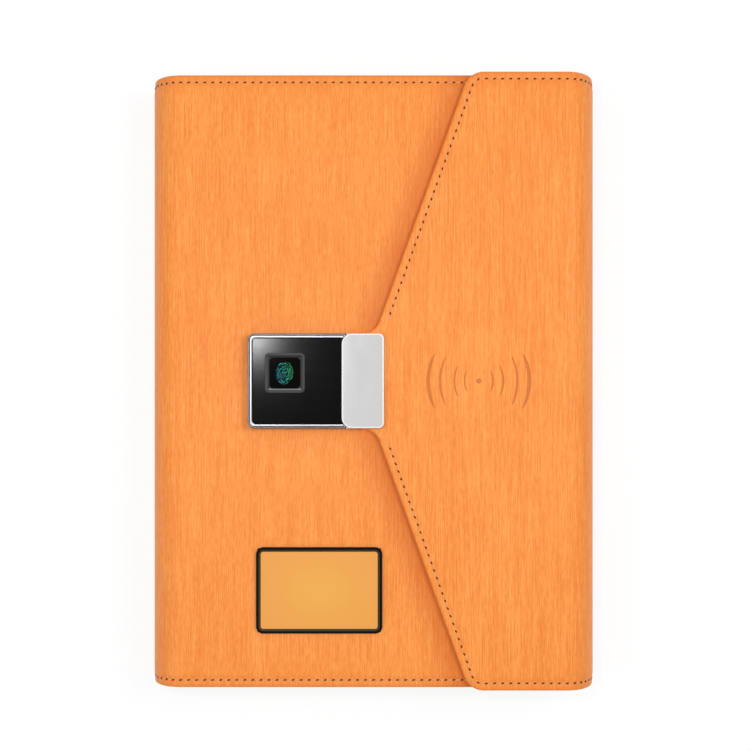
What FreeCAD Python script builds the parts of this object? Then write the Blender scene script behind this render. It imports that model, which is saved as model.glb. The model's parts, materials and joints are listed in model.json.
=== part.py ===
import FreeCAD, Part
import math
import os
import types
import Sketcher

# Driving dimensions of the notebook, in millimetres and, where the name says so, degrees.
# X runs from the spine to the fore edge, Y up the page, Z out of the front cover.
SIZES = {
    # the sewn notebook that the case is made round
    "book_width": 145.0,
    "book_height": 210.0,
    "book_spine_gap": 2.0,
    "book_fore_gap": 1.0,
    "head_margin": 12.5,
    # the wrap-round case
    "fold_radius": 12.0,
    "fold_wall": 2.0,
    "leather": 1.2,
    "lining": 0.8,
    "back_board": 2.5,
    "spine_board": 2.0,
    "inside_height": 16.0,
    "front_overhang": 3.0,
    "edge_round": 1.0,
    "fit_gap": 0.1,
    "overrun": 1.0,
    # the flap with its tongue
    "flap_overhang": 0.75,
    "flap_gap": 0.3,
    "flap_leather": 1.0,
    "flap_board": 0.8,
    "flap_lining": 0.8,
    "flap_bevel": 0.5,
    "flap_corner_x": 36.6,
    "flap_neck_x": 0.7,
    "flap_corner_round": 7.5,
    "flap_neck_round": 6.2,
    "tongue_end_x": -4.9,
    "tongue_width": 37.0,
    # the notebook's own pieces and the sleeve that holds it
    "page_depth": 11.4,
    "page_round": 6.0,
    "card": 0.5,
    "tape": 0.4,
    "tape_width": 14.0,
    "sleeve_left": 12.0,
    "sleeve_margin": 7.0,
    "sleeve_leather": 1.0,
    "sleeve_notch": 26.0,
    "seat_gap": 0.1,
    # the tray in the front cover
    "tray_depth": 8.5,
    "tray_wall": 1.5,
    "tray_skin": 1.2,
    "rib": 1.2,
    "boss": 5.0,
    "pocket_spine_margin": 16.0,
    "pocket_width": 100.0,
    "pocket_margin": 9.5,
    "pocket_step": 16.0,
    "pocket_leaf": 0.35,
    "pocket_base": 30.0,
    # power bank
    "cell_side_gap": 5.5,
    "cell_end_gap": 7.7,
    "cell_depth": 5.5,
    "cell_low": 29.0,
    "cell_gap": 3.0,
    "cell_round": 2.0,
    "board": 1.2,
    "board_left": 12.0,
    "board_side_gap": 4.2,
    "board_height": 72.2,
    "board_inset": 0.5,
    "board_front_gap": 6.0,
    "chip": 7.0,
    "chip_height": 1.0,
    "choke": 9.0,
    "choke_round": 1.8,
    "choke_height": 2.6,
    "screw": 1.6,
    "screw_head": 3.2,
    "screw_head_height": 1.0,
    "screw_bite": 2.0,
    "coil_margin": 33.4,
    "coil_outer": 44.0,
    "coil_inner": 20.0,
    "coil_depth": 1.0,
    "ferrite": 48.0,
    "ferrite_depth": 0.8,
    "usb_margin": 47.0,
    "usb_width": 8.94,
    "usb_height": 3.2,
    "usb_depth": 8.6,
    "usb_shell": 0.3,
    "usb_tongue_width": 6.7,
    "usb_tongue": 0.7,
    "usb_setback": 0.4,
    "port_gap": 0.3,
    "button_margin": 27.0,
    "button_width": 7.0,
    "button_height": 2.8,
    "button_round": 0.93,
    "button_flange": 0.8,
    "button_lip": 0.6,
    "button_gap": 0.15,
    "button_travel": 0.6,
    "switch_width": 4.5,
    "switch_depth": 3.5,
    # the light badge
    "badge_x": -20.8,
    "badge_margin": 37.4,
    "badge_width": 48.3,
    "badge_height": 33.0,
    "badge_round": 2.7,
    "badge_rim": 1.7,
    "badge_rise": 1.2,
    "badge_lip": 0.6,
    "badge_bevel": 0.45,
    "badge_skirt": 0.6,
    "badge_flange": 0.65,
    "badge_drop": 2.8,
    "badge_gap": 0.1,
    "lens": 1.0,
    "light_board": 1.0,
    "light": 2.0,
    "light_height": 0.6,
    "light_pitch": 10.0,
    # the lock
    "lock_left": -47.9,
    "lock_right": -10.5,
    "ledge_right": -5.2,
    "lock_width": 36.2,
    "lock_rise": 4.6,
    "ledge_rise": 2.6,
    "lock_corner": 2.5,
    "lock_bevel": 0.5,
    "lock_rim": 1.5,
    "well_inset": 1.9,
    "well_width": 30.0,
    "well_depth": 4.0,
    "well_gap": 0.2,
    "lock_floor": 1.2,
    "lock_wall": 1.5,
    "lock_end_wall": 3.0,
    "face": 1.2,
    "sensor_x": -33.7,
    "sensor_y": 3.0,
    "bezel": 15.3,
    "bezel_round": 1.7,
    "bezel_rise": 0.4,
    "bezel_bevel": 0.25,
    "bezel_skirt": 14.0,
    "bezel_drop": 2.0,
    "sensor": 11.6,
    "sensor_round": 1.2,
    "sensor_set": 0.25,
    "sensor_foot": 13.6,
    "sensor_foot_height": 0.6,
    "lock_board": 1.0,
    "lock_board_width": 19.5,
    "lock_board_height": 17.0,
    "post": 2.4,
    "motor": 4.0,
    "motor_length": 13.0,
    "motor_y": -10.0,
    "screw_lead": 1.6,
    "run_gap": 0.05,
    "bolt_length": 4.0,
    "bolt_left": -22.0,
    "bolt_side": 2.0,
    "bolt_cover": 0.5,
    "bolt_pin": 2.4,
    "bolt_tip": -9.8,
    "pin_height": 3.0,
    "pin_gap": 0.1,
    "lock_screw_x": -30.0,
    # the clasp on the tongue
    "clasp_left": -12.1,
    "clasp_right": 4.0,
    "clasp_width": 36.0,
    "clasp_top": 2.9,
    "clasp_gap": 0.3,
    "clasp_left_round": 3.0,
    "clasp_right_round": 2.0,
    "clasp_bevel": 0.6,
    "hook": 1.8,
    "hook_bevel": 0.6,
    "hook_width": 10.0,
    "hook_left": -9.2,
    "hook_root": 1.5,
    "hook_drop": 5.0,
    "hook_room": 1.4,
    "hook_side": 0.3,
    "hook_eye_width": 3.6,
    "hook_eye_height": 2.8,
    "rivet": 2.0,
    "rivet_head": 4.0,
    "rivet_x": -0.6,
    "rivet_spacing": 24.0,
}

document = FreeCAD.newDocument("fingerprint_notebook")
sheet = document.addObject("Spreadsheet::Sheet", "Sizes")
for row, (alias, number) in enumerate(SIZES.items(), start=1):
    sheet.set(f"A{row}", alias)
    sheet.set(f"B{row}", str(number))
    sheet.setAlias(f"B{row}", alias)
document.recompute()


class Size:
    """A length: its value now, and the sheet expression that keeps it current."""

    def __init__(self, value, text):
        self.value = value
        self.text = text

    def join(self, sign, value, other):
        return Size(value, f"({self.text} {sign} {other.text})")

    def __add__(self, other):
        other = as_size(other)
        return self.join("+", self.value + other.value, other)

    def __sub__(self, other):
        other = as_size(other)
        return self.join("-", self.value - other.value, other)

    def __mul__(self, other):
        other = as_size(other)
        return self.join("*", self.value * other.value, other)

    def __truediv__(self, other):
        other = as_size(other)
        return self.join("/", self.value / other.value, other)

    def __neg__(self):
        return Size(-self.value, f"(0 - {self.text})")

    def root(self):
        return Size(math.sqrt(self.value), f"sqrt({self.text})")


def as_size(number):
    return number if isinstance(number, Size) else Size(float(number), str(number))


s = types.SimpleNamespace(**{name: Size(number, f"Sizes.{name}") for name, number in SIZES.items()})
ZERO = as_size(0)

# Levels and edges that several pieces share.
half_flat = (s.book_width + s.book_spine_gap + s.book_fore_gap) / 2
half_cover = s.book_height / 2 + s.head_margin
half_flap = half_cover + s.flap_overhang
back_top = s.leather + s.back_board + s.lining
front_bottom = back_top + s.inside_height
tray_bottom = front_bottom + s.lining
tray_top = tray_bottom + s.tray_depth
tray_ceiling = tray_top - s.tray_skin
front_top = tray_top + s.leather
flap_bottom = front_top + s.flap_gap
flap_core = flap_bottom + s.flap_lining
flap_skin = flap_core + s.flap_board
flap_top = flap_skin + s.flap_leather
spine_wall = s.leather + s.spine_board + s.lining
flap_thick = s.flap_lining + s.flap_board + s.flap_leather
wall_out = half_flat + s.fold_radius
spine_high = front_top - s.fold_radius
fore_high = flap_top - s.fold_radius
front_right = half_flat + s.front_overhang
lock_top = front_top + s.lock_rise
ledge_top = front_top + s.ledge_rise
well_bottom = front_top - s.well_depth
lock_floor = well_bottom + s.lock_floor
badge_y = s.badge_margin - half_cover
coil_x = half_flat - s.coil_margin
usb_x = front_right - s.usb_margin
button_x = front_right - s.button_margin
TOLERANCE = s.fit_gap.value / 10
NODES = []


def new_body(name):
    body = document.addObject("PartDesign::Body", name)
    body.Label = name
    NODES.append(body)
    return body


def new_sketch(body, role, shift):
    sketch = body.newObject("Sketcher::SketchObject", f"{body.Label}_sketch")
    plane = next(item for item in body.Origin.OriginFeatures if item.Role == role)
    sketch.AttachmentSupport = [(plane, "")]
    sketch.MapMode = "FlatFace"
    sketch.setExpression("AttachmentOffset.Base.z", shift.text)
    return sketch


def fix_point(sketch, geometry, end, across=None, up=None):
    """Hold one end of a sketch line, or a centre, at named sizes from the origin."""
    for kind, place in (("DistanceX", across), ("DistanceY", up)):
        if place is not None:
            number = sketch.addConstraint(Sketcher.Constraint(kind, -1, 1, geometry, end, place.value))
            sketch.setExpression(f"Constraints[{number}]", place.text)


def fix_size(sketch, kind, geometry, size):
    number = sketch.addConstraint(Sketcher.Constraint(kind, geometry, size.value))
    sketch.setExpression(f"Constraints[{number}]", size.text)


def point(across, up):
    return FreeCAD.Vector(across.value, up.value, 0)


def outline(corners, radii=None):
    """A closed outline through the corners, which are round where a radius is given."""
    radii = radii or {}
    count = len(corners)

    def corner_run(index):
        """Where the two sides stop short of a corner, and the centre of the arc between them."""
        here = point(*corners[index])
        if index not in radii:
            return here, here, here
        back = (point(*corners[index - 1]) - here).normalize()
        ahead = (point(*corners[(index + 1) % count]) - here).normalize()
        half_angle = back.getAngle(ahead) / 2
        radius = radii[index].value
        reach = radius / math.tan(half_angle)
        inward = (back + ahead).normalize()
        centre = here + inward * (radius / math.sin(half_angle))
        return here + back * reach, here + ahead * reach, centre

    def draw(sketch):
        runs = [corner_run(index) for index in range(count)]
        for index in range(count):
            sketch.addGeometry(Part.LineSegment(runs[index][1], runs[(index + 1) % count][0]), False)
        for index, corner in enumerate(corners):
            before = (index - 1) % count
            if index not in radii:
                sketch.addConstraint(Sketcher.Constraint("Coincident", before, 2, index, 1))
                fix_point(sketch, index, 1, *corner)
                continue
            arrive, leave, centre = runs[index]
            turns_left = (arrive - centre).cross(leave - centre).z > 0
            ends = (arrive, leave) if turns_left else (leave, arrive)
            angles = [math.atan2(end.y - centre.y, end.x - centre.x) for end in ends]
            circle = Part.Circle(centre, FreeCAD.Vector(0, 0, 1), radii[index].value)
            arc = sketch.addGeometry(Part.ArcOfCircle(circle, *angles), False)
            first, last = (1, 2) if turns_left else (2, 1)
            sketch.addConstraint(Sketcher.Constraint("Tangent", before, 2, arc, first))
            sketch.addConstraint(Sketcher.Constraint("Tangent", arc, last, index, 1))
            fix_size(sketch, "Radius", arc, radii[index])
            tip = sketch.addGeometry(Part.Point(point(*corner)), True)
            fix_point(sketch, tip, 1, *corner)
            sketch.addConstraint(Sketcher.Constraint("PointOnObject", tip, 1, before))
            sketch.addConstraint(Sketcher.Constraint("PointOnObject", tip, 1, index))
    return draw


def box(left, right, low, high):
    return outline([(left, low), (right, low), (right, high), (left, high)])


def rounded(left, right, low, high, radius):
    """A rectangle with four equal round corners."""
    corners = [(left, low), (right, low), (right, high), (left, high)]
    return outline(corners, {index: radius for index in range(4)})


def about(x, y, width, height, radius=None):
    """A rectangle about a centre, with round corners where a radius is given."""
    edges = (x - width / 2, x + width / 2, y - height / 2, y + height / 2)
    return rounded(*edges, radius) if radius else box(*edges)


def circles(diameter, centres):
    def draw(sketch):
        for index, centre in enumerate(centres):
            circle = Part.Circle(point(*centre), FreeCAD.Vector(0, 0, 1), diameter.value / 2)
            sketch.addGeometry(circle, False)
            fix_size(sketch, "Diameter", index, diameter)
            fix_point(sketch, index, 3, *centre)
    return draw


def prism(body, role, draw, start, end, cut=False):
    """Pad or pocket a drawn outline from start to end along the plane's positive axis."""
    backward = role == "XZ_Plane"
    sketch = new_sketch(body, role, -start if backward else start)
    draw(sketch)
    before = body.Shape.Volume if cut else 0
    kind = "PartDesign::Pocket" if cut else "PartDesign::Pad"
    feature = body.newObject(kind, f"{body.Label}_{'cut' if cut else 'pad'}")
    feature.Profile = sketch
    feature.setExpression("Length", (end - start).text)
    feature.Reversed = backward != cut
    document.recompute()
    if cut and body.Shape.Volume >= before:
        raise RuntimeError(f"a cut in {body.Label} removes nothing")


def plate(body, draw, start, end):
    prism(body, "XY_Plane", draw, start, end)


def sink(body, draw, start, end):
    prism(body, "XY_Plane", draw, start, end, cut=True)


def edges_at(body, along=None, **places):
    """Names of the edges that lie at the given places and run along one axis."""
    names = []
    for number, edge in enumerate(body.Shape.Edges, start=1):
        bounds = edge.BoundBox
        spans = {"x": bounds.XLength, "y": bounds.YLength, "z": bounds.ZLength}
        if along and any(span > TOLERANCE for axis, span in spans.items() if axis != along):
            continue
        lows = {"x": bounds.XMin, "y": bounds.YMin, "z": bounds.ZMin}
        highs = {"x": bounds.XMax, "y": bounds.YMax, "z": bounds.ZMax}
        if all(
            abs(lows[axis] - place.value) < TOLERANCE and abs(highs[axis] - place.value) < TOLERANCE
            for axis, place in places.items()
        ):
            names.append(f"Edge{number}")
    return names


def dress(body, kind, size, edges):
    """Round or bevel the named edges of a body."""
    base = body.Tip
    feature = body.newObject(f"PartDesign::{kind}", f"{body.Label}_{kind.lower()}")
    feature.Base = (base, edges)
    feature.setExpression("Radius" if kind == "Fillet" else "Size", size.text)
    document.recompute()
    if not feature.isValid():
        raise RuntimeError(f"{body.Label} can't take a {kind} of {size.value}")


def fold(name, side, upper, centre_z, half_length):
    """A quarter-round leather fold whose centre line is the crease that it turns about."""
    body = new_body(name)
    centre_x = half_flat if side > 0 else -half_flat
    sketch = new_sketch(body, "XY_Plane", centre_z)
    sketch.setExpression("AttachmentOffset.Base.x", centre_x.text)
    outer = s.fold_radius if side > 0 else -s.fold_radius
    inner = s.fold_radius - s.fold_wall
    inner = inner if side > 0 else -inner
    left, right = (inner, outer) if side > 0 else (outer, inner)
    box(left, right, -half_length, half_length)(sketch)
    turn = body.newObject("PartDesign::Revolution", f"{name}_turn")
    turn.Profile = sketch
    turn.ReferenceAxis = (sketch, ["V_Axis"])
    turn.Angle = 90
    turn.Reversed = upper == (side > 0)
    document.recompute()


def laid_panel(name, left, right, half_length, low, high):
    """A flat stiffener or lining cut square."""
    body = new_body(name)
    plate(body, box(left, right, -half_length, half_length), low, high)


def back_cover():
    inner_half = half_cover - s.leather
    body = new_body("back_leather")
    plate(body, box(-half_flat, half_flat, -half_cover, half_cover), ZERO, back_top)
    sink(body, box(-half_flat, half_flat, -inner_half, inner_half), s.leather, back_top)
    dress(body, "Fillet", s.edge_round, edges_at(body, "x", y=half_cover, z=ZERO)
          + edges_at(body, "x", y=-half_cover, z=ZERO))
    panel_half = inner_half - s.fit_gap
    laid_panel("back_board", -half_flat, half_flat, panel_half, s.leather, s.leather + s.back_board)
    laid_panel("back_lining", -half_flat, half_flat, panel_half, back_top - s.lining, back_top)
    fold("spine_lower_fold", -1, False, s.fold_radius, half_cover)
    fold("fore_edge_lower_fold", 1, False, s.fold_radius, half_flap)


def spine():
    inner_half = half_cover - s.leather
    body = new_body("spine_leather")
    inside = -wall_out + spine_wall
    plate(body, box(-wall_out, inside, -half_cover, half_cover), s.fold_radius, spine_high)
    sink(body, box(-wall_out + s.leather, inside + s.overrun, -inner_half, inner_half),
         s.fold_radius, spine_high)
    dress(body, "Fillet", s.edge_round, edges_at(body, "z", x=-wall_out))
    panel_half = inner_half - s.fit_gap
    board_left = -wall_out + s.leather
    laid_panel("spine_board", board_left, board_left + s.spine_board, panel_half, s.fold_radius, spine_high)
    laid_panel("spine_lining", inside - s.lining, inside, panel_half, s.fold_radius, spine_high)
    fold("spine_upper_fold", -1, True, spine_high, half_cover)


def notebook():
    left, right = s.book_spine_gap - half_flat, half_flat - s.book_fore_gap
    half = s.book_height / 2
    sleeve_half = half + s.sleeve_margin
    slot_top = back_top + s.card + s.seat_gap * 2
    sleeve_top = slot_top + s.sleeve_leather
    sleeve = new_body("insert_sleeve")
    plate(sleeve, box(s.sleeve_left, half_flat, -sleeve_half, sleeve_half), back_top, sleeve_top)
    sink(sleeve, box(s.sleeve_left - s.overrun, right + s.seat_gap, -half - s.seat_gap, half + s.seat_gap),
         back_top, slot_top)
    sink(sleeve, circles(s.sleeve_notch, [(s.sleeve_left, ZERO)]), slot_top, sleeve_top)
    back_card = new_body("insert_back_card")
    card_low = back_top + s.seat_gap
    plate(back_card, box(left, right, -half, half), card_low, card_low + s.card)
    page_low = sleeve_top + s.seat_gap
    page_high = page_low + s.page_depth
    pages = new_body("paper_block")
    plate(pages, box(left, right, -half, half), page_low, page_high)
    dress(pages, "Fillet", s.page_round, edges_at(pages, "z", x=right))
    front_card = new_body("insert_front_card")
    plate(front_card, box(left, right, -half, half), page_high, page_high + s.card)
    dress(front_card, "Fillet", s.page_round, edges_at(front_card, "z", x=right))
    tape = new_body("insert_spine_tape")
    outer_low, outer_high = card_low - s.seat_gap, page_high + s.card + s.tape
    profile = outline([
        (left - s.tape, outer_low),
        (left, outer_low),
        (left, page_high + s.card),
        (left + s.tape_width, page_high + s.card),
        (left + s.tape_width, outer_high),
        (left - s.tape, outer_high),
    ])
    prism(tape, "XZ_Plane", profile, -half, half)


def front_shell():
    inner_half = half_cover - s.leather
    inner_right = front_right - s.leather
    ledge_gap = s.ledge_right + s.well_gap
    well_left = s.lock_left + s.well_inset
    well_half = s.well_width / 2
    skirt_width = s.badge_width - s.badge_flange * 2
    skirt_height = s.badge_height - s.badge_flange * 2
    lock_hole = box(well_left - s.well_gap, ledge_gap, -well_half - s.well_gap, well_half + s.well_gap)
    badge_hole = about(s.badge_x, badge_y, skirt_width + s.well_gap * 2, skirt_height + s.well_gap * 2)
    screw_holes = circles(s.screw + s.well_gap, lock_screw_places())
    usb_z = tray_ceiling - s.usb_height / 2
    usb_round = s.usb_height / 2
    port = about(usb_x, usb_z, s.usb_width + s.port_gap * 2, s.usb_height + s.port_gap * 2, usb_round)
    gap = s.button_gap * 2
    button_hole = about(button_x, usb_z, s.button_width + gap, s.button_height + gap, s.button_round)

    leather = new_body("front_leather")
    plate(leather, box(-half_flat, front_right, -half_cover, half_cover), front_bottom, front_top)
    sink(leather, box(-half_flat - s.overrun, inner_right, -inner_half, inner_half), front_bottom, tray_top)
    spine_side = edges_at(leather, "y", x=-half_flat)
    rims = [name for name in edges_at(leather, z=front_top) if name not in spine_side]
    dress(leather, "Fillet", s.edge_round, rims)
    for hole in (lock_hole, badge_hole, screw_holes):
        sink(leather, hole, tray_top, front_top)
    for hole in (port, button_hole):
        prism(leather, "XZ_Plane", hole, -half_cover, -inner_half, cut=True)

    tray = new_body("front_tray")
    outer_half = inner_half - s.fit_gap
    outer_right = inner_right - s.fit_gap
    wall = s.tray_wall
    plate(tray, box(-half_flat, outer_right, -outer_half, outer_half), tray_bottom, tray_top)
    sink(tray, box(-half_flat + wall, outer_right - wall, -outer_half + wall, outer_half - wall),
         tray_bottom, tray_ceiling)
    plate(tray, circles(s.boss, board_screw_places()), board_high_level(), tray_ceiling)
    plate(tray, box(-s.rib / 2, s.rib / 2, s.cell_low, outer_half - wall), tray_bottom, tray_ceiling)
    sink(tray, circles(s.screw, board_screw_places()), board_high_level(), board_high_level() + s.screw_bite)
    for hole in (lock_hole, badge_hole, screw_holes):
        sink(tray, hole, tray_ceiling, tray_top)
    for hole in (port, button_hole):
        prism(tray, "XZ_Plane", hole, -outer_half, -outer_half + wall, cut=True)
    laid_panel("front_lining", -half_flat, outer_right, outer_half, front_bottom, tray_bottom)

    pockets = new_body("card_pockets")
    low, leaf = s.pocket_margin - half_cover, s.pocket_leaf
    steps = []
    for step in range(3):
        edge = low + s.pocket_base + s.pocket_step * step
        steps.append((edge, front_bottom - leaf * (3 - step)))
        steps.append((edge, front_bottom - leaf * (2 - step)))
    profile = outline([(low, front_bottom), (low, front_bottom - leaf * 3)] + steps)
    pocket_start = s.pocket_spine_margin - half_flat
    prism(pockets, "YZ_Plane", profile, pocket_start, pocket_start + s.pocket_width)


def lock_screw_places():
    side = s.well_width / 2 + s.screw_head / 2 + s.fit_gap
    return [(s.lock_screw_x, -side), (s.lock_screw_x, side)]


def board_edges():
    low = -half_cover + s.leather + s.fit_gap + s.tray_wall + s.board_inset
    right = front_right - s.leather - s.fit_gap - s.tray_wall - s.board_side_gap
    return s.board_left, right, low, low + s.board_height


def board_high_level():
    return tray_ceiling - s.usb_height


def board_screw_places():
    left, right, low, high = board_edges()
    inset = s.boss / 2 + s.board_inset
    return [(left + inset, high - inset), (right - inset, low + inset + s.board_front_gap)]


def power_bank():
    side = half_flat - s.tray_wall - s.cell_side_gap
    cell_high = half_cover - s.leather - s.fit_gap - s.tray_wall - s.cell_end_gap
    cells = new_body("battery_cells")
    for left, right in ((-side, -s.cell_gap), (s.cell_gap, side)):
        draw = rounded(left, right, s.cell_low, cell_high, s.cell_round)
        plate(cells, draw, tray_ceiling - s.cell_depth, tray_ceiling)

    left, right, low, high = board_edges()
    board_top = board_high_level()
    board = new_body("power_board")
    plate(board, box(left, right, low, high), board_top - s.board, board_top)
    middle_x, middle_y = (left + right) / 2, (low + high) / 2
    plate(board, about(middle_x, middle_y, s.chip, s.chip), board_top, board_top + s.chip_height)
    coils = about(middle_x, middle_y + s.choke * 2, s.choke, s.choke, s.choke_round)
    plate(board, coils, board_top, board_top + s.choke_height)
    flange_back = button_flange_front() + s.button_flange
    switch_front = flange_back + s.button_travel + s.button_gap
    switch = box(button_x - s.switch_width / 2, button_x + s.switch_width / 2,
                 switch_front, switch_front + s.switch_depth)
    plate(board, switch, board_top, board_top + s.button_height)
    holes = circles(s.screw + s.fit_gap, board_screw_places())
    sink(board, holes, board_top - s.board, board_top)

    screws = new_body("board_screws")
    plate(screws, circles(s.screw_head, board_screw_places()),
          board_top - s.board - s.screw_head_height, board_top - s.board)
    plate(screws, circles(s.screw, board_screw_places()), board_top - s.board, board_top + s.screw_bite)

    socket_front = -half_cover + s.usb_setback
    usb_z = board_top + s.usb_height / 2
    shell = s.usb_shell
    socket = new_body("usb_socket")
    outer = about(usb_x, usb_z, s.usb_width, s.usb_height, s.usb_height / 2 - s.fit_gap)
    prism(socket, "XZ_Plane", outer, socket_front, socket_front + s.usb_depth)
    inner_round = s.usb_height / 2 - s.fit_gap - shell
    inner = about(usb_x, usb_z, s.usb_width - shell * 2, s.usb_height - shell * 2, inner_round)
    prism(socket, "XZ_Plane", inner, socket_front, socket_front + s.usb_depth - s.overrun, cut=True)
    blade = about(usb_x, usb_z, s.usb_tongue_width, s.usb_tongue)
    prism(socket, "XZ_Plane", blade, socket_front + s.overrun, socket_front + s.usb_depth - s.overrun)

    coil = new_body("charging_coil")
    plate(coil, circles(s.coil_outer, [(coil_x, ZERO)]), tray_ceiling - s.coil_depth, tray_ceiling)
    sink(coil, circles(s.coil_inner, [(coil_x, ZERO)]), tray_ceiling - s.coil_depth, tray_ceiling)
    ferrite = new_body("ferrite_sheet")
    ferrite_top = tray_ceiling - s.coil_depth
    plate(ferrite, circles(s.ferrite, [(coil_x, ZERO)]), ferrite_top - s.ferrite_depth, ferrite_top)


def button_flange_front():
    return -half_cover + s.leather + s.fit_gap + s.tray_wall + s.run_gap


def power_button():
    button = new_body("power_button")
    middle_z = board_high_level() + s.usb_height / 2
    cap = about(button_x, middle_z, s.button_width, s.button_height, s.button_round)
    front = button_flange_front()
    prism(button, "XZ_Plane", cap, -half_cover, front)
    lip = s.button_lip * 2
    flange = about(button_x, middle_z - s.button_gap, s.button_width + lip, s.button_height - s.fit_gap)
    prism(button, "XZ_Plane", flange, front, front + s.button_flange)


def badge():
    x, y = s.badge_x, badge_y
    rim_top = front_top + s.badge_rise
    lip_low = rim_top - s.badge_lip
    skirt_low = front_top - s.badge_drop
    skirt_width = s.badge_width - s.badge_flange * 2
    skirt_height = s.badge_height - s.badge_flange * 2
    skirt_round = s.badge_round - s.badge_flange
    room_width = skirt_width - s.badge_skirt * 2
    room_height = skirt_height - s.badge_skirt * 2
    room_round = skirt_round - s.badge_skirt
    frame = new_body("badge_frame")
    plate(frame, about(x, y, s.badge_width, s.badge_height, s.badge_round), front_top, rim_top)
    dress(frame, "Chamfer", s.badge_bevel, edges_at(frame, z=rim_top))
    plate(frame, about(x, y, skirt_width, skirt_height, skirt_round), skirt_low, front_top)
    sink(frame, about(x, y, room_width, room_height, room_round), skirt_low, lip_low)
    window = about(x, y, s.badge_width - s.badge_rim * 2, s.badge_height - s.badge_rim * 2,
                   s.badge_round - s.badge_rim)
    sink(frame, window, lip_low, rim_top)
    inside_width = room_width - s.badge_gap * 2
    inside_height = room_height - s.badge_gap * 2
    inside = about(x, y, inside_width, inside_height, room_round - s.badge_gap)
    lens = new_body("badge_lens")
    plate(lens, inside, lip_low - s.lens, lip_low)
    lights = new_body("badge_light_board")
    plate(lights, inside, skirt_low, skirt_low + s.light_board)
    for across in range(-1, 2):
        for up in (-1, 1):
            place = about(x + s.light_pitch * across, y + s.light_pitch * up / 2, s.light, s.light)
            plate(lights, place, skirt_low + s.light_board, skirt_low + s.light_board + s.light_height)


def lock_case():
    half = s.lock_width / 2
    well_left = s.lock_left + s.well_inset
    well_half = s.well_width / 2
    pocket_left, pocket_right = hook_pocket()
    base = new_body("lock_base")
    profile = outline([
        (s.lock_left, front_top),
        (s.ledge_right, front_top),
        (s.ledge_right, ledge_top),
        (s.lock_right, ledge_top),
        (s.lock_right, lock_top),
        (s.lock_left, lock_top),
    ])
    prism(base, "XZ_Plane", profile, -half, half)
    dress(base, "Fillet", s.lock_corner, edges_at(base, "z", x=s.lock_left))
    dress(base, "Chamfer", s.lock_bevel, edges_at(base, z=lock_top))
    plate(base, box(well_left, s.ledge_right, -well_half, well_half), well_bottom, front_top)
    face_low = lock_top - s.face
    rim = s.lock_rim
    recess_round = s.lock_corner - rim
    recess = rounded(s.lock_left + rim, s.lock_right - rim, -half + rim, half - rim, recess_round)
    sink(base, recess, face_low, lock_top)
    cavity_right = s.lock_right - s.lock_end_wall
    cavity_left = well_left + s.lock_wall
    cavity_half = well_half - s.lock_wall
    sink(base, box(cavity_left, cavity_right, -cavity_half, cavity_half), lock_floor, face_low)
    for post_x, post_y in lock_post_places():
        plate(base, about(post_x, post_y, s.post, s.post), lock_floor, lock_board_low())
    pocket_low = flap_top - s.hook_drop - s.hook_side
    hook_half = s.hook_width / 2 + s.hook_side
    sink(base, box(pocket_left, pocket_right, -hook_half, hook_half), pocket_low, ledge_top)
    pin_hole = circles(s.bolt_pin + s.pin_gap * 2, [(ZERO, pin_level())])
    prism(base, "YZ_Plane", pin_hole, cavity_right, pocket_left, cut=True)
    bite = circles(s.screw + s.fit_gap, lock_screw_places())
    sink(base, bite, front_top, front_top + s.screw_bite)

    face = new_body("lock_face")
    gap = s.fit_gap
    cover = rounded(s.lock_left + rim + gap, s.lock_right - rim - gap, -half + rim + gap, half - rim - gap,
                    recess_round - gap)
    plate(face, cover, face_low, lock_top)
    window = about(s.sensor_x, s.sensor_y, s.bezel_skirt + gap * 2, s.bezel_skirt + gap * 2, s.bezel_round)
    sink(face, window, face_low, lock_top)

    screws = new_body("lock_screws")
    heads = circles(s.screw_head, lock_screw_places())
    plate(screws, heads, tray_ceiling - s.screw_head_height, tray_ceiling)
    plate(screws, circles(s.screw, lock_screw_places()), tray_ceiling, front_top + s.screw_bite)


def hook_pocket():
    return s.hook_left - s.hook_side, s.hook_left + s.hook + s.hook_room


def pin_level():
    return lock_floor + s.pin_height


def sensor_foot_low():
    return lock_top - s.bezel_drop - s.sensor_foot_height - s.run_gap


def lock_board_low():
    return sensor_foot_low() - s.lock_board


def lock_board_edges():
    left = s.sensor_x - s.lock_board_width / 2
    low = s.sensor_y - s.lock_board_height / 2
    return left, left + s.lock_board_width, low, low + s.lock_board_height


def lock_post_places():
    left, right, low, high = lock_board_edges()
    inset = s.post / 2
    return [(x, y) for x in (left + inset, right - inset) for y in (low + inset, high - inset)]


def fingerprint_reader():
    x, y = s.sensor_x, s.sensor_y
    skirt_low = lock_top - s.bezel_drop
    bezel_top = lock_top + s.bezel_rise
    bezel = new_body("sensor_bezel")
    plate(bezel, about(x, y, s.bezel, s.bezel, s.bezel_round), lock_top, bezel_top)
    dress(bezel, "Chamfer", s.bezel_bevel, edges_at(bezel, z=bezel_top))
    skirt_round = s.bezel_round - s.fit_gap
    plate(bezel, about(x, y, s.bezel_skirt, s.bezel_skirt, skirt_round), skirt_low, lock_top)
    opening = s.sensor + s.fit_gap * 2
    sink(bezel, about(x, y, opening, opening, s.sensor_round), skirt_low, bezel_top)
    reader = new_body("fingerprint_sensor")
    foot_low = sensor_foot_low()
    foot_top = foot_low + s.sensor_foot_height
    plate(reader, about(x, y, s.sensor_foot, s.sensor_foot), foot_low, foot_top)
    plate(reader, about(x, y, s.sensor, s.sensor, s.sensor_round), foot_top, bezel_top - s.sensor_set)
    board = new_body("lock_board")
    plate(board, box(*lock_board_edges()), lock_board_low(), foot_low)


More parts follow.
